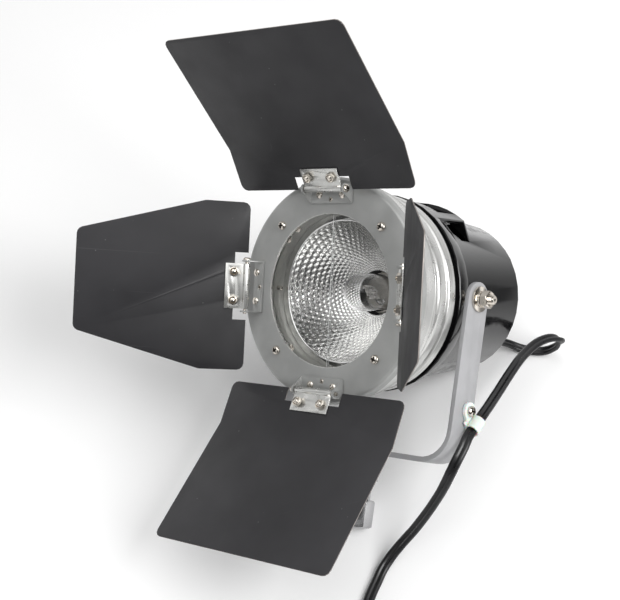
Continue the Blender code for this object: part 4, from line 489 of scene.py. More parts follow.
def make_finishes(colours):
    """One material for each finish of the lamp, by the record's slot."""
    return {
        "grey_paint": painted_finish("ring_grey_paint", colours.paint_grey, 0.38, 0.2, 0.4),
        "yoke_paint": painted_finish("yoke_grey_paint", colours.yoke_grey, 0.45, 0.2, 0.1),
        "satin_alloy": metal_finish("satin_alloy", colours.alloy, 0.3, 0.03, 0.9, 0.96),
        "barrel_alloy": turned_finish("barrel_alloy", colours.barrel, 0.3, 0.8, 700.0, LATHE, 0.000002),
        "black_sheet": coated_sheet_finish("black_door_coating", colours.door_black, 0.48),
        # door edges: lighter worn sheet, which also stands in as a painted highlight along the thin edges
        "edge_wear_and_highlight": metal_finish("worn_sheet_edge_and_painted_highlight", (0.34, 0.31, 0.29, 1), 0.5, 0.3, 0.5),
        "gloss_black": painted_finish("gloss_black_enamel", colours.enamel_black, 0.1, 0.05, Specular_IOR_Level=0.48),
        "matt_black": moulded_finish("matt_black", (0.013, 0.013, 0.014, 1), 0.6),
        "nickel": metal_finish("bright_nickel", colours.nickel, 0.16, 0.08),
        # painted shade: a near-black finish for cross recesses and holes, where shade falls
        "recess": metal_finish("screw_recess_painted_shade", (0.035, 0.028, 0.022, 1), 0.6),
        "turned_alloy": turned_finish("spigot_alloy", colours.spigot, 0.22, 1.0, 2600.0, spigot_axis(), 0.00003),
        "mirror": metal_finish("dimpled_mirror", (0.87, 0.87, 0.86, 1), 0.07, 0.03),
        "glass": glass_finish("clear_glass", (1.0, 1.0, 1.0, 1), 1.46),
        "glass_cut": cut_finish(),
        "ground_glass": moulded_finish("ground_glass", (0.75, 0.76, 0.75, 1), 0.6, 0.3, 2400.0),
        "ceramic": moulded_finish("cream_ceramic", (0.78, 0.74, 0.66, 1), 0.55, 0.3, 1200.0),
        "nylon": moulded_finish("milky_nylon", colours.nylon, 0.35, 0.1, 700.0, Subsurface_Weight=0.6,
                                Subsurface_Scale=0.003),
        "cord_black": moulded_finish("cord_rubber", colours.cord_black, 0.3, 0.1, 900.0),
        "tungsten": metal_finish("tungsten", (0.72, 0.7, 0.68, 1), 0.25),
        "sleeve": painted_finish("sleeve_inside", (0.6, 0.6, 0.56, 1), 0.4, 0.15, 0.3),
    }


def spigot_axis():
    """Frame on the spigot's axis, z up along it."""
    return YOKE @ shift(z=-YOKE_DROP)


FINISHES = {}


def paint(item, slot):
    """Puts one finish on a whole piece."""
    item.data.materials.clear()
    item.data.materials.append(FINISHES[slot])


def paint_faces(item, slot, chosen):
    """Adds a second finish on the faces that a test chooses."""
    item.data.materials.append(FINISHES[slot])
    number = len(item.data.materials) - 1
    for face in item.data.polygons:
        if chosen(face):
            face.material_index = number


# sizes and colours that a user may change
class LampSizes(bpy.types.PropertyGroup):
    dimple_depth: bpy.props.FloatProperty(
        name="Dimple depth", description="Depth of the reflector's hammered dimples",
        default=0.5 * MM, min=0, max=1 * MM, unit="LENGTH")
    turning_steps: bpy.props.IntProperty(
        name="Turning steps", description="Segments round the large turned pieces",
        default=128, min=48, max=256)
    cord_step: bpy.props.FloatProperty(
        name="Cord step", description="Distance between the cord's sections",
        default=CORD_STEP, min=2 * MM, max=10 * MM, unit="LENGTH")


def colour_property(name, description, value):
    """A colour that the panel shows."""
    return bpy.props.FloatVectorProperty(name=name, description=description, subtype="COLOR",
                                         size=4, min=0, max=1, default=(*value, 1))


class LampColours(bpy.types.PropertyGroup):
    paint_grey: colour_property("Ring paint", "Satin grey paint of ring and brackets", (0.4, 0.405, 0.397))
    yoke_grey: colour_property("Yoke paint", "Lighter grey paint of the yoke", (0.39, 0.39, 0.4))
    alloy: colour_property("Alloy", "Satin metal of hinges and strap", (0.66, 0.66, 0.64))
    barrel: colour_property("Barrel", "Turned metal of the front barrel", (0.72, 0.72, 0.705))
    door_black: colour_property("Door coating", "Matte black coating of the doors", (0.02, 0.0195, 0.022))
    enamel_black: colour_property("Housing enamel", "Gloss black of the housing", (0.004, 0.004, 0.0045))
    nickel: colour_property("Nickel", "Bright plating of screws and nuts", (0.74, 0.69, 0.62))
    spigot: colour_property("Spigot", "Turned metal of the spigot", (0.62, 0.62, 0.63))
    nylon: colour_property("Clip nylon", "Milky nylon of the cord clip", (0.8, 0.84, 0.8))
    cord_black: colour_property("Cord", "Black of the mains cord", (0.012, 0.012, 0.013))
    floor: colour_property("Floor", "Pale floor", (0.9, 0.9, 0.9))


# stage
class LAMP_OT_stage(bpy.types.Operator):
    """Camera, floor and studio light"""
    bl_idname = "lamp.stage"
    bl_label = "Stage"

    def execute(self, context):
        make_camera()
        make_floor(context.scene.lamp_colours.floor)
        make_world()
        make_lights()
        context.scene.view_settings.view_transform = "Standard"
        return {"FINISHED"}


def make_camera():
    """Camera at the photograph's place, in the head's frame."""
    data = bpy.data.cameras.new("photo_camera")
    data.sensor_width = 36.0
    data.lens = 74.02
    data.clip_start = 0.01
    camera = bpy.data.objects.new("photo_camera", data)
    bpy.context.scene.collection.objects.link(camera)
    right = Vector((0.75669, 0.65192, 0.04924))
    up = Vector((-0.04515, -0.02303, 0.99871))
    back = Vector((0.65221, -0.75794, 0.01200))
    look = Matrix((right, up, back)).transposed().to_4x4()
    look.translation = Vector((512.85, -612.21, 3.11)) * MM
    camera.matrix_world = HEAD @ look
    bpy.context.scene.camera = camera


def make_floor(colour):
    """Wide pale floor that the camera sees as white, with the lamp's shadow; mirrors see it pale with a painted shade,
    a dark patch beside the lamp.
    """
    fresh()
    bpy.ops.mesh.primitive_plane_add(size=2.6)
    floor_plane = bpy.context.object
    floor_plane.name = "floor"
    made, tree, shader = start_finish("floor_white", 0.9, 0.0, Specular_IOR_Level=0.1)
    rays = add_node(tree, "ShaderNodeLightPath")
    seen = add_node(tree, "ShaderNodeMath", {0: rays.outputs["Is Camera Ray"], 1: rays.outputs["Is Glossy Ray"]},
                    operation="MAXIMUM")
    seen = add_node(tree, "ShaderNodeMath", {0: seen.outputs[0], 1: rays.outputs["Is Transmission Ray"]},
                    operation="MAXIMUM")
    mix = add_node(tree, "ShaderNodeMix", {0: seen.outputs[0], 6: tuple(colour), 7: (1, 1, 1, 1)},
                   data_type="RGBA")
    place = add_node(tree, "ShaderNodeTexCoord").outputs["Object"]
    # painted shade: mirrors see the floor dark within 7 cm of this spot, pale again 20 cm away
    from_painted_shade = add_node(tree, "ShaderNodeVectorMath", {0: place, 1: (0.34, 0.11, 0)}, operation="DISTANCE")
    ramp = add_node(tree, "ShaderNodeValToRGB", {0: from_painted_shade.outputs["Value"]})
    stops = ramp.color_ramp.elements
    stops[0].position, stops[0].color = 0.07, (0.13, 0.13, 0.13, 1)
    stops[1].position, stops[1].color = 0.2, (0.9, 0.9, 0.9, 1)
    dimmed = add_node(tree, "ShaderNodeMix", {0: rays.outputs["Is Glossy Ray"], 6: mix.outputs[2],
                                              7: ramp.outputs[0]}, data_type="RGBA")
    tree.links.new(dimmed.outputs[2], shader.inputs["Base Color"])
    floor_plane.data.materials.append(made)


def make_world():
    """Even grey light; mirrors see the studio's cards in a dim room, and the camera sees white."""
    world = bpy.data.worlds.new("studio")
    world.use_nodes = True
    tree = world.node_tree
    way = add_node(tree, "ShaderNodeTexCoord").outputs["Generated"]
    seen = 0.07
    for aim, edge, full, brightness in CARDS:
        near = add_node(tree, "ShaderNodeVectorMath", {0: way, 1: Vector(aim).normalized()},
                        operation="DOT_PRODUCT")
        card = add_node(tree, "ShaderNodeMapRange", {
            "Value": near.outputs["Value"], "From Min": edge, "From Max": full, "To Max": brightness},
            interpolation_type="SMOOTHSTEP")
        seen = add_node(tree, "ShaderNodeMath", {0: card.outputs[0], 1: seen},
                        operation="MAXIMUM").outputs[0]
    rays = add_node(tree, "ShaderNodeLightPath")
    mirrored = add_node(tree, "ShaderNodeMix", {
        0: rays.outputs["Is Glossy Ray"], 2: 0.47, 3: seen}, data_type="FLOAT")
    white = add_node(tree, "ShaderNodeMix", {
        0: rays.outputs["Is Camera Ray"], 2: mirrored.outputs[0], 3: 1.0}, data_type="FLOAT")
    tree.links.new(white.outputs[0], tree.nodes["Background"].inputs["Color"])
    bpy.context.scene.world = world


def make_lights():
    """Key lamp on the right, and a large weak one overhead."""
    lights = (
        ("key", (0.95, -0.55, 1.15), 0.9, 18.0),
        ("overhead", (-0.3, 0.1, 1.6), 1.6, 9.0),
    )
    for name, place, size, power in lights:
        data = bpy.data.lights.new(name, "AREA")
        data.shape = "SQUARE"
        data.size = size
        data.energy = power
        light = bpy.data.objects.new(name, data)
        light.location = place
        aim = Vector((0, 0, 0.08)) - Vector(place)
        light.rotation_euler = aim.to_track_quat("-Z", "Y").to_euler()
        bpy.context.scene.collection.objects.link(light)


# cord
class LAMP_OT_cord(bpy.types.Operator):
    """Flat mains cord from the gland through the clip, over the table into its coil"""
    bl_idname = "lamp.cord"
    bl_label = "Cord"

    def execute(self, context):
        make_plug()
        make_cord(context.scene.lamp_sizes.cord_step)
        return {"FINISHED"}


def smooth_route(points, step):
    """Evenly spaced points on a smooth curve through a route's own points."""
    ends = [2 * points[0] - points[1]] + points + [2 * points[-1] - points[-2]]
    fine = []
    for a, b, c, d in zip(ends, ends[1:], ends[2:], ends[3:]):
        for i in range(24):
            t = i / 24
            fine.append(0.5 * ((2 * b) + (c - a) * t + (2 * a - 5 * b + 4 * c - d) * t ** 2
                               + (3 * b - a - 3 * c + d) * t ** 3))
    fine.append(points[-1])
    walked = np.concatenate([[0], np.cumsum([(q - p).length for p, q in zip(fine, fine[1:])])])
    places = np.linspace(0, walked[-1], max(2, ceil(walked[-1] / step)) + 1)
    spots = np.array([tuple(point) for point in fine])
    return [Vector(spot) for spot in np.column_stack([np.interp(places, walked, spots[:, i]) for i in range(3)])]


def laid_route(base, offsets):
    """A route's points, lowered where the thin flat cord lies closer to the table."""
    points = []
    for offset in offsets:
        x, y, z = base + Vector(offset) * MM
        share = min(1.0, max(0.0, (9 * MM - z) / (5.4 * MM)))
        points.append(Vector((x, y, z - 1.7 * MM * share)))
    return points


def clip_place():
    """Where the cord goes through the clip, and its direction there."""
    screw = YOKE @ shift(YOKE_WIDTH / 2, 3.4 * MM, -70.4 * MM) @ TO_RIGHT
    loop = screw @ turn(radians(138.2), "Z") @ shift(-3.8 * MM, -8.5 * MM, 5.0 * MM)
    return loop.translation, (loop.to_3x3() @ Vector((-1, 0, 0))).normalized()


def coil_points(base):
    """Coil in two layers, in and out again, then on to the plug."""
    half_loops = COIL_LOOPS // 2
    wide = COIL_MIDDLE_RADIUS + COIL_PITCH * half_loops / 2
    narrow = wide - COIL_PITCH * half_loops
    centre = Vector((base.x + COIL_ASIDE[0] * MM, base.y + COIL_ASIDE[1] * MM, CORD_FLOOR))
    count = half_loops * COIL_STEPS
    climb = COIL_STEPS // 2
    points = []
    for i in range(2 * count + 1):
        angle = -2 * pi * i / COIL_STEPS
        lift = min(1.0, max(0.0, (i - count) / climb))
        if i <= count:
            radius = wide - COIL_PITCH * i / COIL_STEPS
        elif i <= count + climb:
            radius = narrow - COIL_PITCH * sin(pi * lift) / 4
        else:
            radius = narrow + COIL_PITCH * (i - count - climb) / COIL_STEPS
        height = COIL_RISE * (1 - cos(pi * lift)) / 2
        points.append(centre + Vector((radius * cos(angle), radius * sin(angle), height)))
    return points


def flat_section():
    """Cross-section of the twin cord: two cores side by side with a groove between them."""
    radius = CORD_THICKNESS / 2
    apart = CORD_WIDTH / 2 - radius
    right = arc(apart, 0, radius, radians(-146), radians(146), 11)
    left = arc(-apart, 0, radius, radians(34), radians(326), 11)
    return right + left


def swept(name, points, wide_start=None):
    """The cord's section swept along points, its wide side kept level."""
    section = flat_section()
    count = len(section)
    vertices, faces = [], []
    side = wide_start
    for i, point in enumerate(points):
        ahead = points[min(i + 1, len(points) - 1)] - points[max(i - 1, 0)]
        ahead.normalize()
        level = ahead.cross(Vector((0, 0, 1)))
        level = level.normalized() if level.length > 0.2 else side
        if side is not None:
            if level.dot(side) < 0:
                level = -level
            level = (side * 0.5 + level * 0.5)
            level = (level - ahead * level.dot(ahead)).normalized()
        side = level
        up = side.cross(ahead).normalized()
        vertices += [point + side * x + up * y for x, y in section]
    for i in range(len(points) - 1):
        for j in range(count):
            k = (j + 1) % count
            faces.append((i * count + j, i * count + k, (i + 1) * count + k, (i + 1) * count + j))
    faces.append(tuple(range(count))[::-1])
    last = (len(points) - 1) * count
    faces.append(tuple(range(last, last + count)))
    mesh = bpy.data.meshes.new(name)
    mesh.from_pydata([tuple(v) for v in vertices], [], faces)
    item = bpy.data.objects.new(name, mesh)
    bpy.context.scene.collection.objects.link(item)
    fresh(item)
    bpy.ops.object.mode_set(mode="EDIT")
    bpy.ops.mesh.select_all(action="SELECT")
    bpy.ops.mesh.normals_make_consistent(inside=False)
    return settle(item, Matrix.Identity(4), 50)


def make_cord(step):
    """Lead from gland to clip, and tail from the clip to the plug."""
    gland = HEAD @ shift(*GLAND_PLACE) @ ALONG
    out = (gland.to_3x3() @ Vector((0, 0, 1))).normalized()
    first = gland @ Vector((0, 0, GLAND_MOUTH))
    middle, along = clip_place()
    straight = 2 * CORD_RADIUS
    route = laid_route(first, ROUTE_FROM_GLAND) + laid_route(middle, ROUTE_TO_CLIP)
    start = [first, first + out * straight]
    at_clip = [middle - along * straight * 1.5, middle - along * straight / 2, middle + along * straight / 2]
    lead_path = smooth_route(start + route + at_clip, step / 2)
    lead = swept("cord_lead_shown", lead_path)
    paint(lead, "cord_black")
    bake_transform(lead)
    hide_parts("cord_lead")
    joint = middle + along * (straight / 2 + 0.3 * MM)
    tail_start = [joint, joint + along * straight]
    route = laid_route(middle, ROUTE_FROM_CLIP)
    turns = coil_points(middle)
    heading = (turns[1] - turns[0]).normalized()
    tail_path = smooth_route(tail_start + route + [turns[0] - heading * 20 * MM, turns[0]], step / 2)
    after = (turns[-1] - turns[-2]).normalized()
    low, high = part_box("plug")
    drop = turns[-1].z - (low.z + high.z) / 2
    fall = (0.05, 0.2, 0.45, 0.7, 0.9, 1.0, 1.0)
    end = [turns[-1] + after * (10 * MM * (i + 1)) - Vector((0, 0, drop * share))
           for i, share in enumerate(fall)]
    whole = tail_path[:-1] + smooth_route(turns + end, step / 1.4)
    tail = swept("cord_tail_shown", whole)
    shown(tail, "yoke_body", "cord_black", "cord_tail", "cord_coil")


def make_plug():
    """Moulded plug with softened edges."""
    item = refined("plug", 0.8, 50, 3)
    item.name = item.data.name = "plug_shown"
    shown(item, "yoke_body", "matt_black", "plug")


# barn door
class LAMP_OT_barn_door(bpy.types.Operator):
    """Doors, hinges, pins and the doors' bolts"""
    bl_idname = "lamp.barn_door"
    bl_label = "Barn door"

    def execute(self, context):
        pin = cross_screw("pin_model", 2.6 * MM, 1.7 * MM, 1.2 * MM, 2 * PIN_HEAD_AT + 0.7 * MM)
        foot = cross_screw("foot_screw_model", 1.55 * MM, 1.1 * MM, 0.9 * MM, 1.4 * MM)
        bolt = leaf_bolt("leaf_bolt_model")
        for quarter, side in enumerate(("right", "top", "left", "bottom")):
            body = f"barn_door_{side}"
            hinge = hinge_frame(quarter * pi / 2)
            make_door(side, body)
            make_bracket(side, hinge, foot)
            shown(refined(f"hinge_leaf_{side}", 0.1, 50), body, "satin_alloy", f"hinge_leaf_{side}")
            put_screw(pin, f"hinge_pin_{side}", hinge @ TO_RIGHT @ shift(z=PIN_HEAD_AT), 2.6 * MM, 1.7 * MM)
            opened = leaf_frame(side, hinge)
            for number, aside in ((1, -9.4 * MM), (2, 9.4 * MM)):
                node = f"leaf_bolt_{side}_{number}"
                shown(copied(bolt, f"{node}_shown", opened @ shift(aside, 8.3 * MM)), body, "nickel", node)
        bpy.data.objects.remove(bolt, do_unlink=True)
        bpy.data.objects.remove(pin, do_unlink=True)
        bpy.data.objects.remove(foot, do_unlink=True)
        return {"FINISHED"}


def leaf_bolt(name):
    """Bolt from behind the door through its leaf, with its nut in front."""
    thread = threads(1.5 * MM, 0.5 * MM, 1.4 * MM, 4.4 * MM)
    profile = [(0, 4.6 * MM), (1.1 * MM, 4.6 * MM), *thread, (1.5 * MM, -1.0 * MM), (2.6 * MM, -1.0 * MM),
               (2.6 * MM, -1.6 * MM), (1.6 * MM, -2.6 * MM), (0, -2.6 * MM)]
    shank = turned("bolt_shank", profile, Matrix.Identity(4), 24)
    nut = hex_nut("bolt_nut", 5.5 * MM, 2.4 * MM, 1.62 * MM)
    settle(nut, shift(z=1.2 * MM))
    return joined(name, shank, nut)


def leaf_frame(side, hinge):
    """Frame of a door's hinge leaf: x along the pin, y along the leaf, z out of the door's front."""
    leaf = frame["nodes"][f"hinge_leaf_{side}"]
    x = hinge.to_3x3().col[0].normalized()
    world = leaf.matrix_world
    normal = (world.to_3x3() @ biggest_face_normal(leaf)).normalized()
    middle = sum((world @ vertex.co for vertex in leaf.data.vertices), Vector()) / len(leaf.data.vertices)
    y = middle - hinge.translation
    y = (y - x * y.dot(x) - normal * y.dot(normal)).normalized()
    made = Matrix((x, y, x.cross(y))).transposed().to_4x4()
    made.translation = hinge.translation
    return made


def make_door(side, body):
    """Coated sheet with its thin edges worn and painted lighter, partly as a painted highlight."""
    door = refined(f"door_{side}", 0.16, 50)
    shown(door, body, "black_sheet", f"door_{side}")
    normal = biggest_face_normal(door)
    # partly painted highlight: the thin edge faces take the lighter worn finish
    paint_faces(door, "edge_wear_and_highlight", lambda face: abs(face.normal.dot(normal)) < 0.35 and face.area < 2.2e-4)


def make_bracket(side, hinge, screw_model):
    """Painted bracket with bright rivets and the ring's screw in its middle hole."""
    bracket = refined(f"hinge_bracket_{side}", 0.12, 50)
    paint(bracket, "grey_paint")
    back = hinge.inverted()

    def on_rivet(face):
        spot = back @ face.center
        return (spot.z > -BRACKET_FACE + 0.05 * MM and abs(spot.y + RIVET_PLACE) < 2.7 * MM
                and abs(abs(spot.x) - RIVET_ASIDE) < 2.7 * MM)

    paint_faces(bracket, "nickel", on_rivet)
    place = hinge @ shift(y=SCREW_CIRCLE - HINGE_RADIUS, z=0.3 * MM - HINGE_STANDOFF) @ turn(0.5, "Z")
    screw = copied(screw_model, "foot_screw", place)
    paint_recess_shade(screw, place, 1.55 * MM, 1.1 * MM)
    whole = joined(f"hinge_bracket_{side}_shown", bracket, screw)
    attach(whole, "head")
    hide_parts(f"hinge_bracket_{side}")


def biggest_face_normal(item):
    """Direction that a sheet's largest face points in."""
    return max(item.data.polygons, key=lambda face: face.area).normal.copy()


# ring and barrel
class LAMP_OT_ring(bpy.types.Operator):
    """Front ring with its four screws"""
    bl_idname = "lamp.ring"
    bl_label = "Front ring"

    def execute(self, context):
        make_ring(context.scene.lamp_sizes.turning_steps)
        make_ring_screws()
        return {"FINISHED"}


def make_ring(steps):
    """Pressed ring with a rounded rim and a bright lip round its opening."""
    edge, sheet = 2.5 * MM, 1.5 * MM
    profile = [(RING_RADIUS, 6.5 * MM)] + arc(RING_RADIUS - edge, edge, edge, 0, -pi / 2, 8)
    profile += [(OPENING_RADIUS + 0.35 * MM, 0), (OPENING_RADIUS + 0.1 * MM, 0.1 * MM), (OPENING_RADIUS, 0.35 * MM),
                (OPENING_RADIUS, sheet)]
    profile += arc(RING_RADIUS - edge, edge, edge - sheet, -pi / 2, 0, 5)
    profile += [(RING_RADIUS - sheet, 6.5 * MM)]
    ring = turned("front_ring_shown", profile, LATHE, steps, closed=True)
    shown(ring, "head", "grey_paint", "front_ring")
    inverse = HEAD.inverted()

    def at_lip(face):
        spot = inverse @ face.center
        return hypot(spot.x, spot.z) < OPENING_RADIUS + 0.36 * MM

    paint_faces(ring, "satin_alloy", at_lip)


def cross_screw(name, radius, height, shank, length):
    """Pan-head screw with a cross recess, seated on z = 0."""
    dome = [(0, height), (radius * 0.45, height * 0.97), (radius * 0.78, height * 0.8), (radius * 0.95, height * 0.5),
            (radius, height * 0.25), (radius, 0), (shank, 0), (shank, -length), (0, -length)]
    screw = turned(name, dome, Matrix.Identity(4), 32, angle=50)
    for angle in (0, pi / 2):
        fresh()
        bpy.ops.mesh.primitive_cube_add(size=1, location=(0, 0, height))
        blade = bpy.context.object
        blade.scale = (radius * 1.25, radius * 0.34, height * 1.1)
        blade.rotation_euler = (0, 0, angle)
        carved(screw, blade)
    return screw


def threads(radius, pitch, start, end):
    """Profile of a threaded length, from its end down to its start."""
    points = []
    z = end
    while z > start:
        points += [(radius, z), (radius * 0.82, z - pitch / 2)]
        z -= pitch
    return points + [(radius, start)]


def hex_nut(name, across, height, bore):
    """Hexagonal nut with its corners turned off and its bore chamfered, seated on z = 0."""
    corner = across / sqrt(3)
    nut = plate(name, arc(0, 0, corner, 0, radians(300), 5), height, Matrix.Identity(4))
    rise = (corner - across * 0.47) * 0.6
    wide = corner + 0.1 * MM
    rounder = turned("rounder", [(0, height), (across * 0.47, height), (wide, height - rise), (wide, rise),
                                 (across * 0.47, 0), (0, 0)], Matrix.Identity(4), 48)
    carved(nut, rounder, how="INTERSECT")
    flare = 0.12 * across
    drill = turned("drill", [(0, height + MM), (bore + flare + MM, height + MM), (bore, height - flare),
                             (bore, flare), (bore + flare + MM, -MM), (0, -MM)], Matrix.Identity(4), 32)
    return carved(nut, drill)


def paint_recess_shade(screw, place, radius, height):
    """Nickel on a screw, with painted shade in its cross recess."""
    paint(screw, "nickel")
    back = place.inverted()

    def in_shaded_recess(face):
        spot = back @ face.center
        return 0 < spot.z < 0.86 * height and hypot(spot.x, spot.y) < 0.66 * radius

    # painted shade: the faces inside the recess take the near-black finish
    paint_faces(screw, "recess", in_shaded_recess)


def put_screw(model, node, place, radius, height):
    """Copy of a screw that stands for one node of the head."""
    item = copied(model, f"{node}_shown", place)
    shown(item, "head", "nickel", node)
    paint_recess_shade(item, place, radius, height)


def make_ring_screws():
    """Four cross-recessed screws on the ring."""
    radius, height = 2.95 * MM, 2.0 * MM
    model = cross_screw("ring_screw_model", radius, height, 1.5 * MM, 8 * MM)
    for i in range(4):
        place = HEAD @ turn(-radians(45 + 90 * i), "Y") @ shift(x=SCREW_CIRCLE) @ FORWARD
        place = place @ shift(z=0.3 * MM) @ turn(radians(20 + 31 * i), "Z")
        put_screw(model, f"ring_screw_{i + 1}", place, radius, height)
    bpy.data.objects.remove(model, do_unlink=True)


class LAMP_OT_barrel(bpy.types.Operator):
    """Turned front barrel with its sleeve, the sleeve's screw and the glass clips"""
    bl_idname = "lamp.barrel"
    bl_label = "Front barrel"

    def execute(self, context):
        make_barrel(context.scene.lamp_sizes.turning_steps)
        shown(refined("sleeve_screw", 0.15), "head", "nickel", "sleeve_screw")
        for place in ("upper", "middle", "lower"):
            shown(refined(f"glass_clip_{place}", 0.08), "head", "nickel", f"glass_clip_{place}")
        return {"FINISHED"}


def make_barrel(steps):
    """Barrel: outer contour with rounded beads, glass seat, sleeve and reflector seat."""
    outer = [(69.0, 8.0), (68.2, 19.6), (68.7, 20.6), (68.5, 22.4), (65.0, 24.4), (63.6, 26.4),
             (63.8, 28.2), (64.9, 30.4), (64.9, 36.6), (62.6, 38.0), (62.6, 39.2), (64.5, 40.6),
             (64.5, 46.7)]
    contour = [(r * MM, y * MM) for r, y in reversed(outer)]
    contour = rounded(contour + [(69.0 * MM, 1.8 * MM)], 0.8 * MM, 4)
    profile = contour + [(51.3 * MM, 1.8 * MM), (51.3 * MM, 6.2 * MM), (50 * MM, 6.2 * MM), (50 * MM, 16.7 * MM),
                         (46.3 * MM, 16.7 * MM), (46.3 * MM, 18.2 * MM), (53.1 * MM, 18.2 * MM), (53.1 * MM, 4.3 * MM),
                         (66.0 * MM, 4.3 * MM), (66.0 * MM, 19.5 * MM), (61.3 * MM, 27.5 * MM), (61.3 * MM, 46.7 * MM)]
    barrel = turned("front_barrel_shown", profile, LATHE, steps, closed=True, angle=30)
    shown(barrel, "head", "satin_alloy", "front_barrel")
    paint(barrel, "barrel_alloy")
    inverse = HEAD.inverted()

    def inside(face):
        spot = inverse @ face.center
        return hypot(spot.x, spot.z) < 52.5 * MM

    paint_faces(barrel, "sleeve", inside)


# optics
class LAMP_OT_optics(bpy.types.Operator):
    """Safety glass, dimpled reflector, bulb with its base, and the socket behind it"""
    bl_idname = "lamp.optics"
    bl_label = "Optics"

    def execute(self, context):
        sizes = context.scene.lamp_sizes
        make_glass()
        make_reflector(sizes.dimple_depth)
        make_bulb()
        shown(refined("lamp_socket", 0.3), "head", "ceramic", "lamp_socket")
        shown(refined("socket_bridge", 0.2), "head", "satin_alloy", "socket_bridge")
        return {"FINISHED"}


def make_glass():
    """Two half discs of glass, ground at their edges."""
    radius, half_gap = 51.0 * MM, 0.06 * MM
    limit = acos(half_gap / radius)
    loop = arc(0, 0, radius, -limit, limit, 48)
    for side, flip in (("right", Matrix.Identity(4)), ("left", turn(pi, "Y"))):
        middle = shift(y=4.4 * MM) @ flip @ FORWARD @ shift(z=-1.5 * MM)
        item = plate(f"safety_glass_{side}_shown", loop, 3.0 * MM, HEAD @ middle)
        bevel(item, 0.22 * MM, 1)
        settle(item, Matrix.Identity(4), 20)
        shown(item, "head", "glass", f"safety_glass_{side}")
        back = HEAD.inverted()
        paint_faces(item, "glass_cut", lambda face: abs((back @ face.center).x) < half_gap * 1.1)
        paint_faces(item, "ground_glass", lambda face: half_gap * 1.1 < abs((back @ face.center).x) < 0.25 * MM)


def reflector_depth(radius):
    """Distance of the bowl's front surface behind its rim at a radius."""
    return ((44.5 * MM) ** 2 - radius ** 2) / (4 * 12.0 * MM)


def make_reflector(dimple_depth):
    """Bowl pressed with staggered dimples that grow smaller towards its neck."""
    rim, hole = 44.5 * MM, 14.8 * MM
    front_at = 15.6 * MM
    radii, radius = [rim], rim
    rows = []
    per_row = DIMPLE_STEPS
    pitch_angle = 2 * pi / DIMPLES_AROUND
    while radius > hole + 0.4 * MM:
        slope = atan2(radius, 24.0 * MM)
        pitch = radius * pitch_angle * 0.87 * cos(slope)
        rows.append((radius, pitch))
        for i in range(1, per_row + 1):
            radii.append(max(hole, radius - pitch * i / per_row))
        radius -= pitch
    front = [(r, front_at + reflector_depth(r)) for r in radii]
    sheet = 0.8 * MM
    back = [(r + sheet * sin(atan2(r, 24 * MM)), front_at + sheet * cos(atan2(r, 24 * MM)) + reflector_depth(r))
            for r in radii[::2 * per_row] + [hole]]
    back[0] = (46.0 * MM, front_at + sheet)
    lip = 45.7 * MM
    profile = back[::-1] + [(49.7 * MM, front_at + sheet), (49.7 * MM, front_at), (lip, front_at),
                            (lip - 0.2 * MM, front_at - 0.5 * MM), (rim + 0.35 * MM, front_at - 0.42 * MM)] + front
    bowl = turned("reflector_shown", profile, Matrix.Identity(4), DIMPLES_AROUND * DIMPLE_STEPS, closed=True, angle=60)
    edges = np.array([row[0] for row in rows] + [radius])
    count = len(bowl.data.vertices)
    co = np.empty(count * 3)
    bowl.data.vertices.foreach_get("co", co)
    co = co.reshape(-1, 3)
    r = np.hypot(co[:, 0], co[:, 1])
    on_front = np.abs(co[:, 2] - front_at - ((44.5 * MM) ** 2 - r ** 2) / (48 * MM)) < 1e-6
    on_front &= (r < rim - 1e-6) & (r > hole + 1e-6)
    row = np.interp(-r, -edges, np.arange(len(edges)))
    column = np.arctan2(co[:, 1], co[:, 0]) / pitch_angle
    best = np.full(count, 9.0)
    for step in (-1, 0, 1, 2):
        near = np.floor(row) + step
        offset = 0.5 * (near % 2)
        across = column - offset
        across -= np.round(across)
        down = (row - near) * 0.87
        best = np.minimum(best, across ** 2 + down ** 2)
    depth = np.clip(1 - best / 0.34, 0, 1) * dimple_depth * (0.5 + 0.5 * r / rim)
    slope = np.arctan2(r, 24 * MM)
    away = np.column_stack([co[:, 0] / r * np.sin(slope), co[:, 1] / r * np.sin(slope), np.cos(slope)])
    co += away * (depth * on_front)[:, None]
    bowl.data.vertices.foreach_set("co", co.ravel())
    settle(bowl, LATHE, 60)
    shown(bowl, "head", "mirror", "reflector")


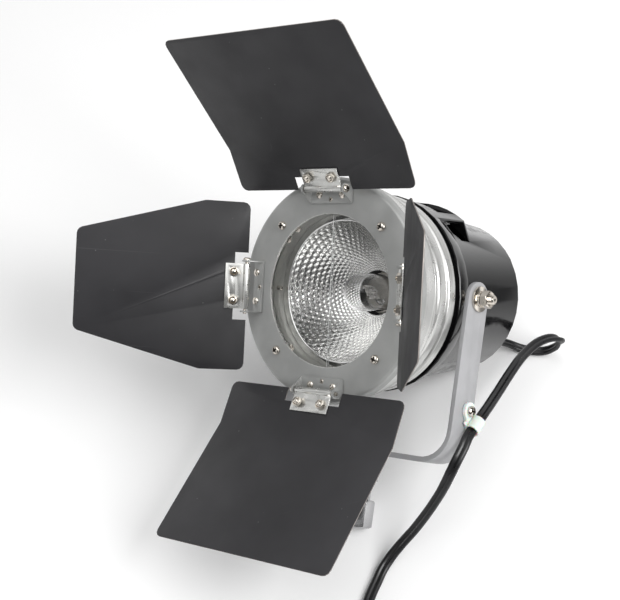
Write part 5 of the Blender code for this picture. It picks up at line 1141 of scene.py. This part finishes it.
def make_bulb():
    """Domed quartz tube over a ceramic base, with posts and a coiled filament."""
    radius, wall, tip, foot = 12.3 * MM, 0.8 * MM, 24 * MM, 57 * MM
    centre = tip + radius
    outer = [(radius, foot)] + [(x, centre - y) for x, y in arc(0, 0, radius, 0, pi / 2, 14)]
    inner = [(x, centre - y) for x, y in arc(0, 0, radius - wall, pi / 2, 0, 14)]
    outer[-1], inner[0] = (0, tip), (0, tip + wall)
    tube = turned("bulb_envelope_shown", outer + inner + [(radius - wall, foot)], LATHE, 48, closed=True)
    shown(tube, "head", "glass", "bulb_envelope")
    start, inner_radius, pinch = 57.3 * MM, 5.5 * MM, 52 * MM
    profile = [(0, start + 10 * MM), (13.4 * MM, start + 10 * MM), (13.4 * MM, start), (inner_radius, start),
               (inner_radius * 0.8, start - 0.5 * MM), (0, start - 0.5 * MM)]
    base = turned("base_body", rounded(profile, 0.5 * MM), LATHE, 48)
    paint(base, "ceramic")
    outline = [(x * MM, y * MM) for x, y in ((-7, 0), (7, 0), (7, 3), (5.4, 5), (-5.4, 5), (-7, 3))]
    seal = plate("pinch", outline, 3 * MM, BULB_TURN @ shift(y=1.5 * MM, z=57 * MM) @ turn(radians(-90), "X"))
    bevel(seal, 0.6 * MM, 3)
    settle(seal, Matrix.Identity(4), 50)
    paint(seal, "glass")
    pieces = [base, seal]
    for side in (-1, 1):
        post = turned(f"post_{side}", [(0, 7 * MM), (0.4 * MM, 6.8 * MM), (0.4 * MM, 0), (0, 0)],
                      BULB_TURN @ shift(side * 5.2 * MM, 0, pinch) @ turn(pi, "X"), 12)
        paint(post, "tungsten")
        pieces.append(post)
    coil = filament()
    paint(coil, "tungsten")
    pieces.append(coil)
    whole = joined("bulb_base_shown", *pieces)
    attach(whole, "head")
    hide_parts("bulb_base")


def filament():
    """Coiled wire in four limbs between the posts."""
    points = []
    for limb in range(4):
        x = (-4.2 + 2.8 * limb) * MM
        for i in range(57):
            share = i / 56 if limb % 2 == 0 else 1 - i / 56
            angle = 2 * pi * i / 7
            points.append(Vector((x + 1.1 * MM * cos(angle), 1.1 * MM * sin(angle), (41.5 + 9 * share) * MM)))
    data = bpy.data.curves.new("filament", "CURVE")
    data.dimensions = "3D"
    data.bevel_depth = 0.28 * MM
    data.bevel_resolution = 1
    spline = data.splines.new("POLY")
    spline.points.add(len(points) - 1)
    for spot, point in zip(spline.points, points):
        spot.co = (*point, 1)
    item = bpy.data.objects.new("filament", data)
    bpy.context.scene.collection.objects.link(item)
    fresh(item)
    bpy.ops.object.convert(target="MESH")
    return settle(bpy.context.object, BULB_TURN, 60)


# housing
class LAMP_OT_housing(bpy.types.Operator):
    """Collar, housing with its vent hood, rear cap and gland"""
    bl_idname = "lamp.housing"
    bl_label = "Housing"

    def execute(self, context):
        shown(refined("neck_collar", 0.2), "head", "matt_black", "neck_collar")
        shown(refined("housing", 0.45, 32, 3), "head", "gloss_black", "housing")
        shown(refined("rear_cap", 0.3), "head", "matt_black", "rear_cap")
        shown(refined("cord_gland", 0.5), "head", "matt_black", "cord_gland")
        return {"FINISHED"}


# yoke
class LAMP_OT_yoke(bpy.types.Operator):
    """Yoke with the studs, washers and nuts that the head tilts on"""
    bl_idname = "lamp.yoke"
    bl_label = "Yoke"

    def execute(self, context):
        yoke = shown(refined("yoke", 0.3, 50, 3), "yoke_body", "grey_paint", "yoke")
        paint(yoke, "yoke_paint")
        for side in ("left", "right"):
            shown(refined(f"tilt_washer_{side}", 0.15), "yoke_body", "nickel", f"tilt_washer_{side}")
            make_nut_and_stud(side, TO_RIGHT if side == "right" else turn(radians(-90), "Y"))
        return {"FINISHED"}


def make_nut_and_stud(side, way):
    """Chamfered nut, and the thread of the stud's end with its centre hole painted dark as shade."""
    pivot = HEAD @ shift(*PIVOT) @ way
    low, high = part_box(f"tilt_nut_{side}")
    across, height = 10.0 * MM, 5.2 * MM
    seat = (((low + high) / 2) - pivot.translation).dot(pivot.to_3x3().col[2]) - height / 2
    nut = hex_nut(f"tilt_nut_{side}_shown", across, height, 3.3 * MM)
    settle(nut, pivot @ shift(z=seat) @ turn(radians(12), "Z"))
    shown(nut, "head", "nickel", f"tilt_nut_{side}")
    end = YOKE_WIDTH / 2 + 11.9 * MM
    stud = refined(f"tilt_stud_{side}", 0)
    outside = 3.6 * MM
    comb = [(outside, end - 9 * MM), (outside, end - 0.8 * MM)] + threads(3.01 * MM, 0.8 * MM, end - 8.9 * MM,
                                                                        end - 0.9 * MM)
    comb = turned("comb", comb, pivot, 48, closed=True)
    hole = turned("hole", [(0, end + MM), (0.9 * MM, end + MM), (0.9 * MM, end - 1.5 * MM), (0, end - 1.8 * MM)],
                  pivot, 16)
    carved(stud, comb, hole)
    settle(stud, Matrix.Identity(4), 30)
    shown(stud, "head", "nickel", f"tilt_stud_{side}")
    back = pivot.inverted()

    def in_hole(face):
        spot = back @ face.center
        return spot.z > end - 2 * MM and spot.z < end - 0.2 * MM and hypot(spot.x, spot.y) < MM

    # painted shade: the faces inside the centre hole take the near-black finish
    paint_faces(stud, "recess", in_hole)


class LAMP_OT_spigot(bpy.types.Operator):
    """Spigot with its two hexagons, its neck and its bolt"""
    bl_idname = "lamp.spigot"
    bl_label = "Spigot"

    def execute(self, context):
        shown(refined("spigot", 0.25, 25), "yoke_body", "turned_alloy", "spigot")
        shown(refined("spigot_bolt", 0.25), "yoke_body", "nickel", "spigot_bolt")
        return {"FINISHED"}


class LAMP_OT_cord_clip(bpy.types.Operator):
    """Nylon clip that holds the cord on the arm, and its screw"""
    bl_idname = "lamp.cord_clip"
    bl_label = "Cord clip"

    def execute(self, context):
        shown(refined("cord_clip", 0.3, 50, 3), "yoke_body", "nylon", "cord_clip")
        screw = cross_screw("clip_screw_shown", 3.6 * MM, 2.4 * MM, 2 * MM, 8.6 * MM)
        place = YOKE @ shift(YOKE_WIDTH / 2, 3.4 * MM, -70.4 * MM) @ TO_RIGHT @ shift(z=2.8 * MM)
        settle(screw, place)
        shown(screw, "yoke_body", "nickel", "clip_screw")
        paint_recess_shade(screw, place, 3.6 * MM, 2.4 * MM)
        return {"FINISHED"}


class LAMP_OT_rest_of_nodes(bpy.types.Operator):
    """Finish on each CAD node that stays as it is"""
    bl_idname = "lamp.rest_of_nodes"
    bl_label = "Remaining pieces"

    def execute(self, context):
        slots = {part["node"]: part["material_slot"] for part in frame["record"]["subparts"]}
        for name, node in frame["nodes"].items():
            if not node.hide_render:
                for place in node.material_slots:
                    place.material = FINISHES[slots[name]]
        return {"FINISHED"}


class LAMP_PT_panel(bpy.types.Panel):
    """Panel that lists the lamp's pieces"""
    bl_label = "Video light"
    bl_idname = "LAMP_PT_panel"
    bl_space_type = "VIEW_3D"
    bl_region_type = "UI"
    bl_category = "Video light"

    def draw(self, context):
        layout = self.layout
        for group in (context.scene.lamp_sizes, context.scene.lamp_colours):
            for name in group.__annotations__:
                layout.prop(group, name)
        for step in STEPS:
            layout.operator(step.bl_idname)


STEPS = (LAMP_OT_stage, LAMP_OT_cord, LAMP_OT_ring, LAMP_OT_barrel, LAMP_OT_optics, LAMP_OT_barn_door,
         LAMP_OT_housing, LAMP_OT_yoke, LAMP_OT_spigot, LAMP_OT_cord_clip, LAMP_OT_rest_of_nodes)
CLASSES = (LampSizes, LampColours, *STEPS, LAMP_PT_panel)


def register():
    """Registers the classes and the two groups of settings."""
    for kind in CLASSES:
        bpy.utils.register_class(kind)
    bpy.types.Scene.lamp_sizes = bpy.props.PointerProperty(type=LampSizes)
    bpy.types.Scene.lamp_colours = bpy.props.PointerProperty(type=LampColours)


def unregister():
    """Takes the classes and settings away again."""
    del bpy.types.Scene.lamp_colours
    del bpy.types.Scene.lamp_sizes
    for kind in reversed(CLASSES):
        bpy.utils.unregister_class(kind)


def main():
    """Builds everything in order."""
    register()
    FINISHES.update(make_finishes(bpy.context.scene.lamp_colours))
    for step in STEPS:
        group, name = step.bl_idname.split(".")
        getattr(getattr(bpy.ops, group), name)()


if __name__ == "__main__":
    main()
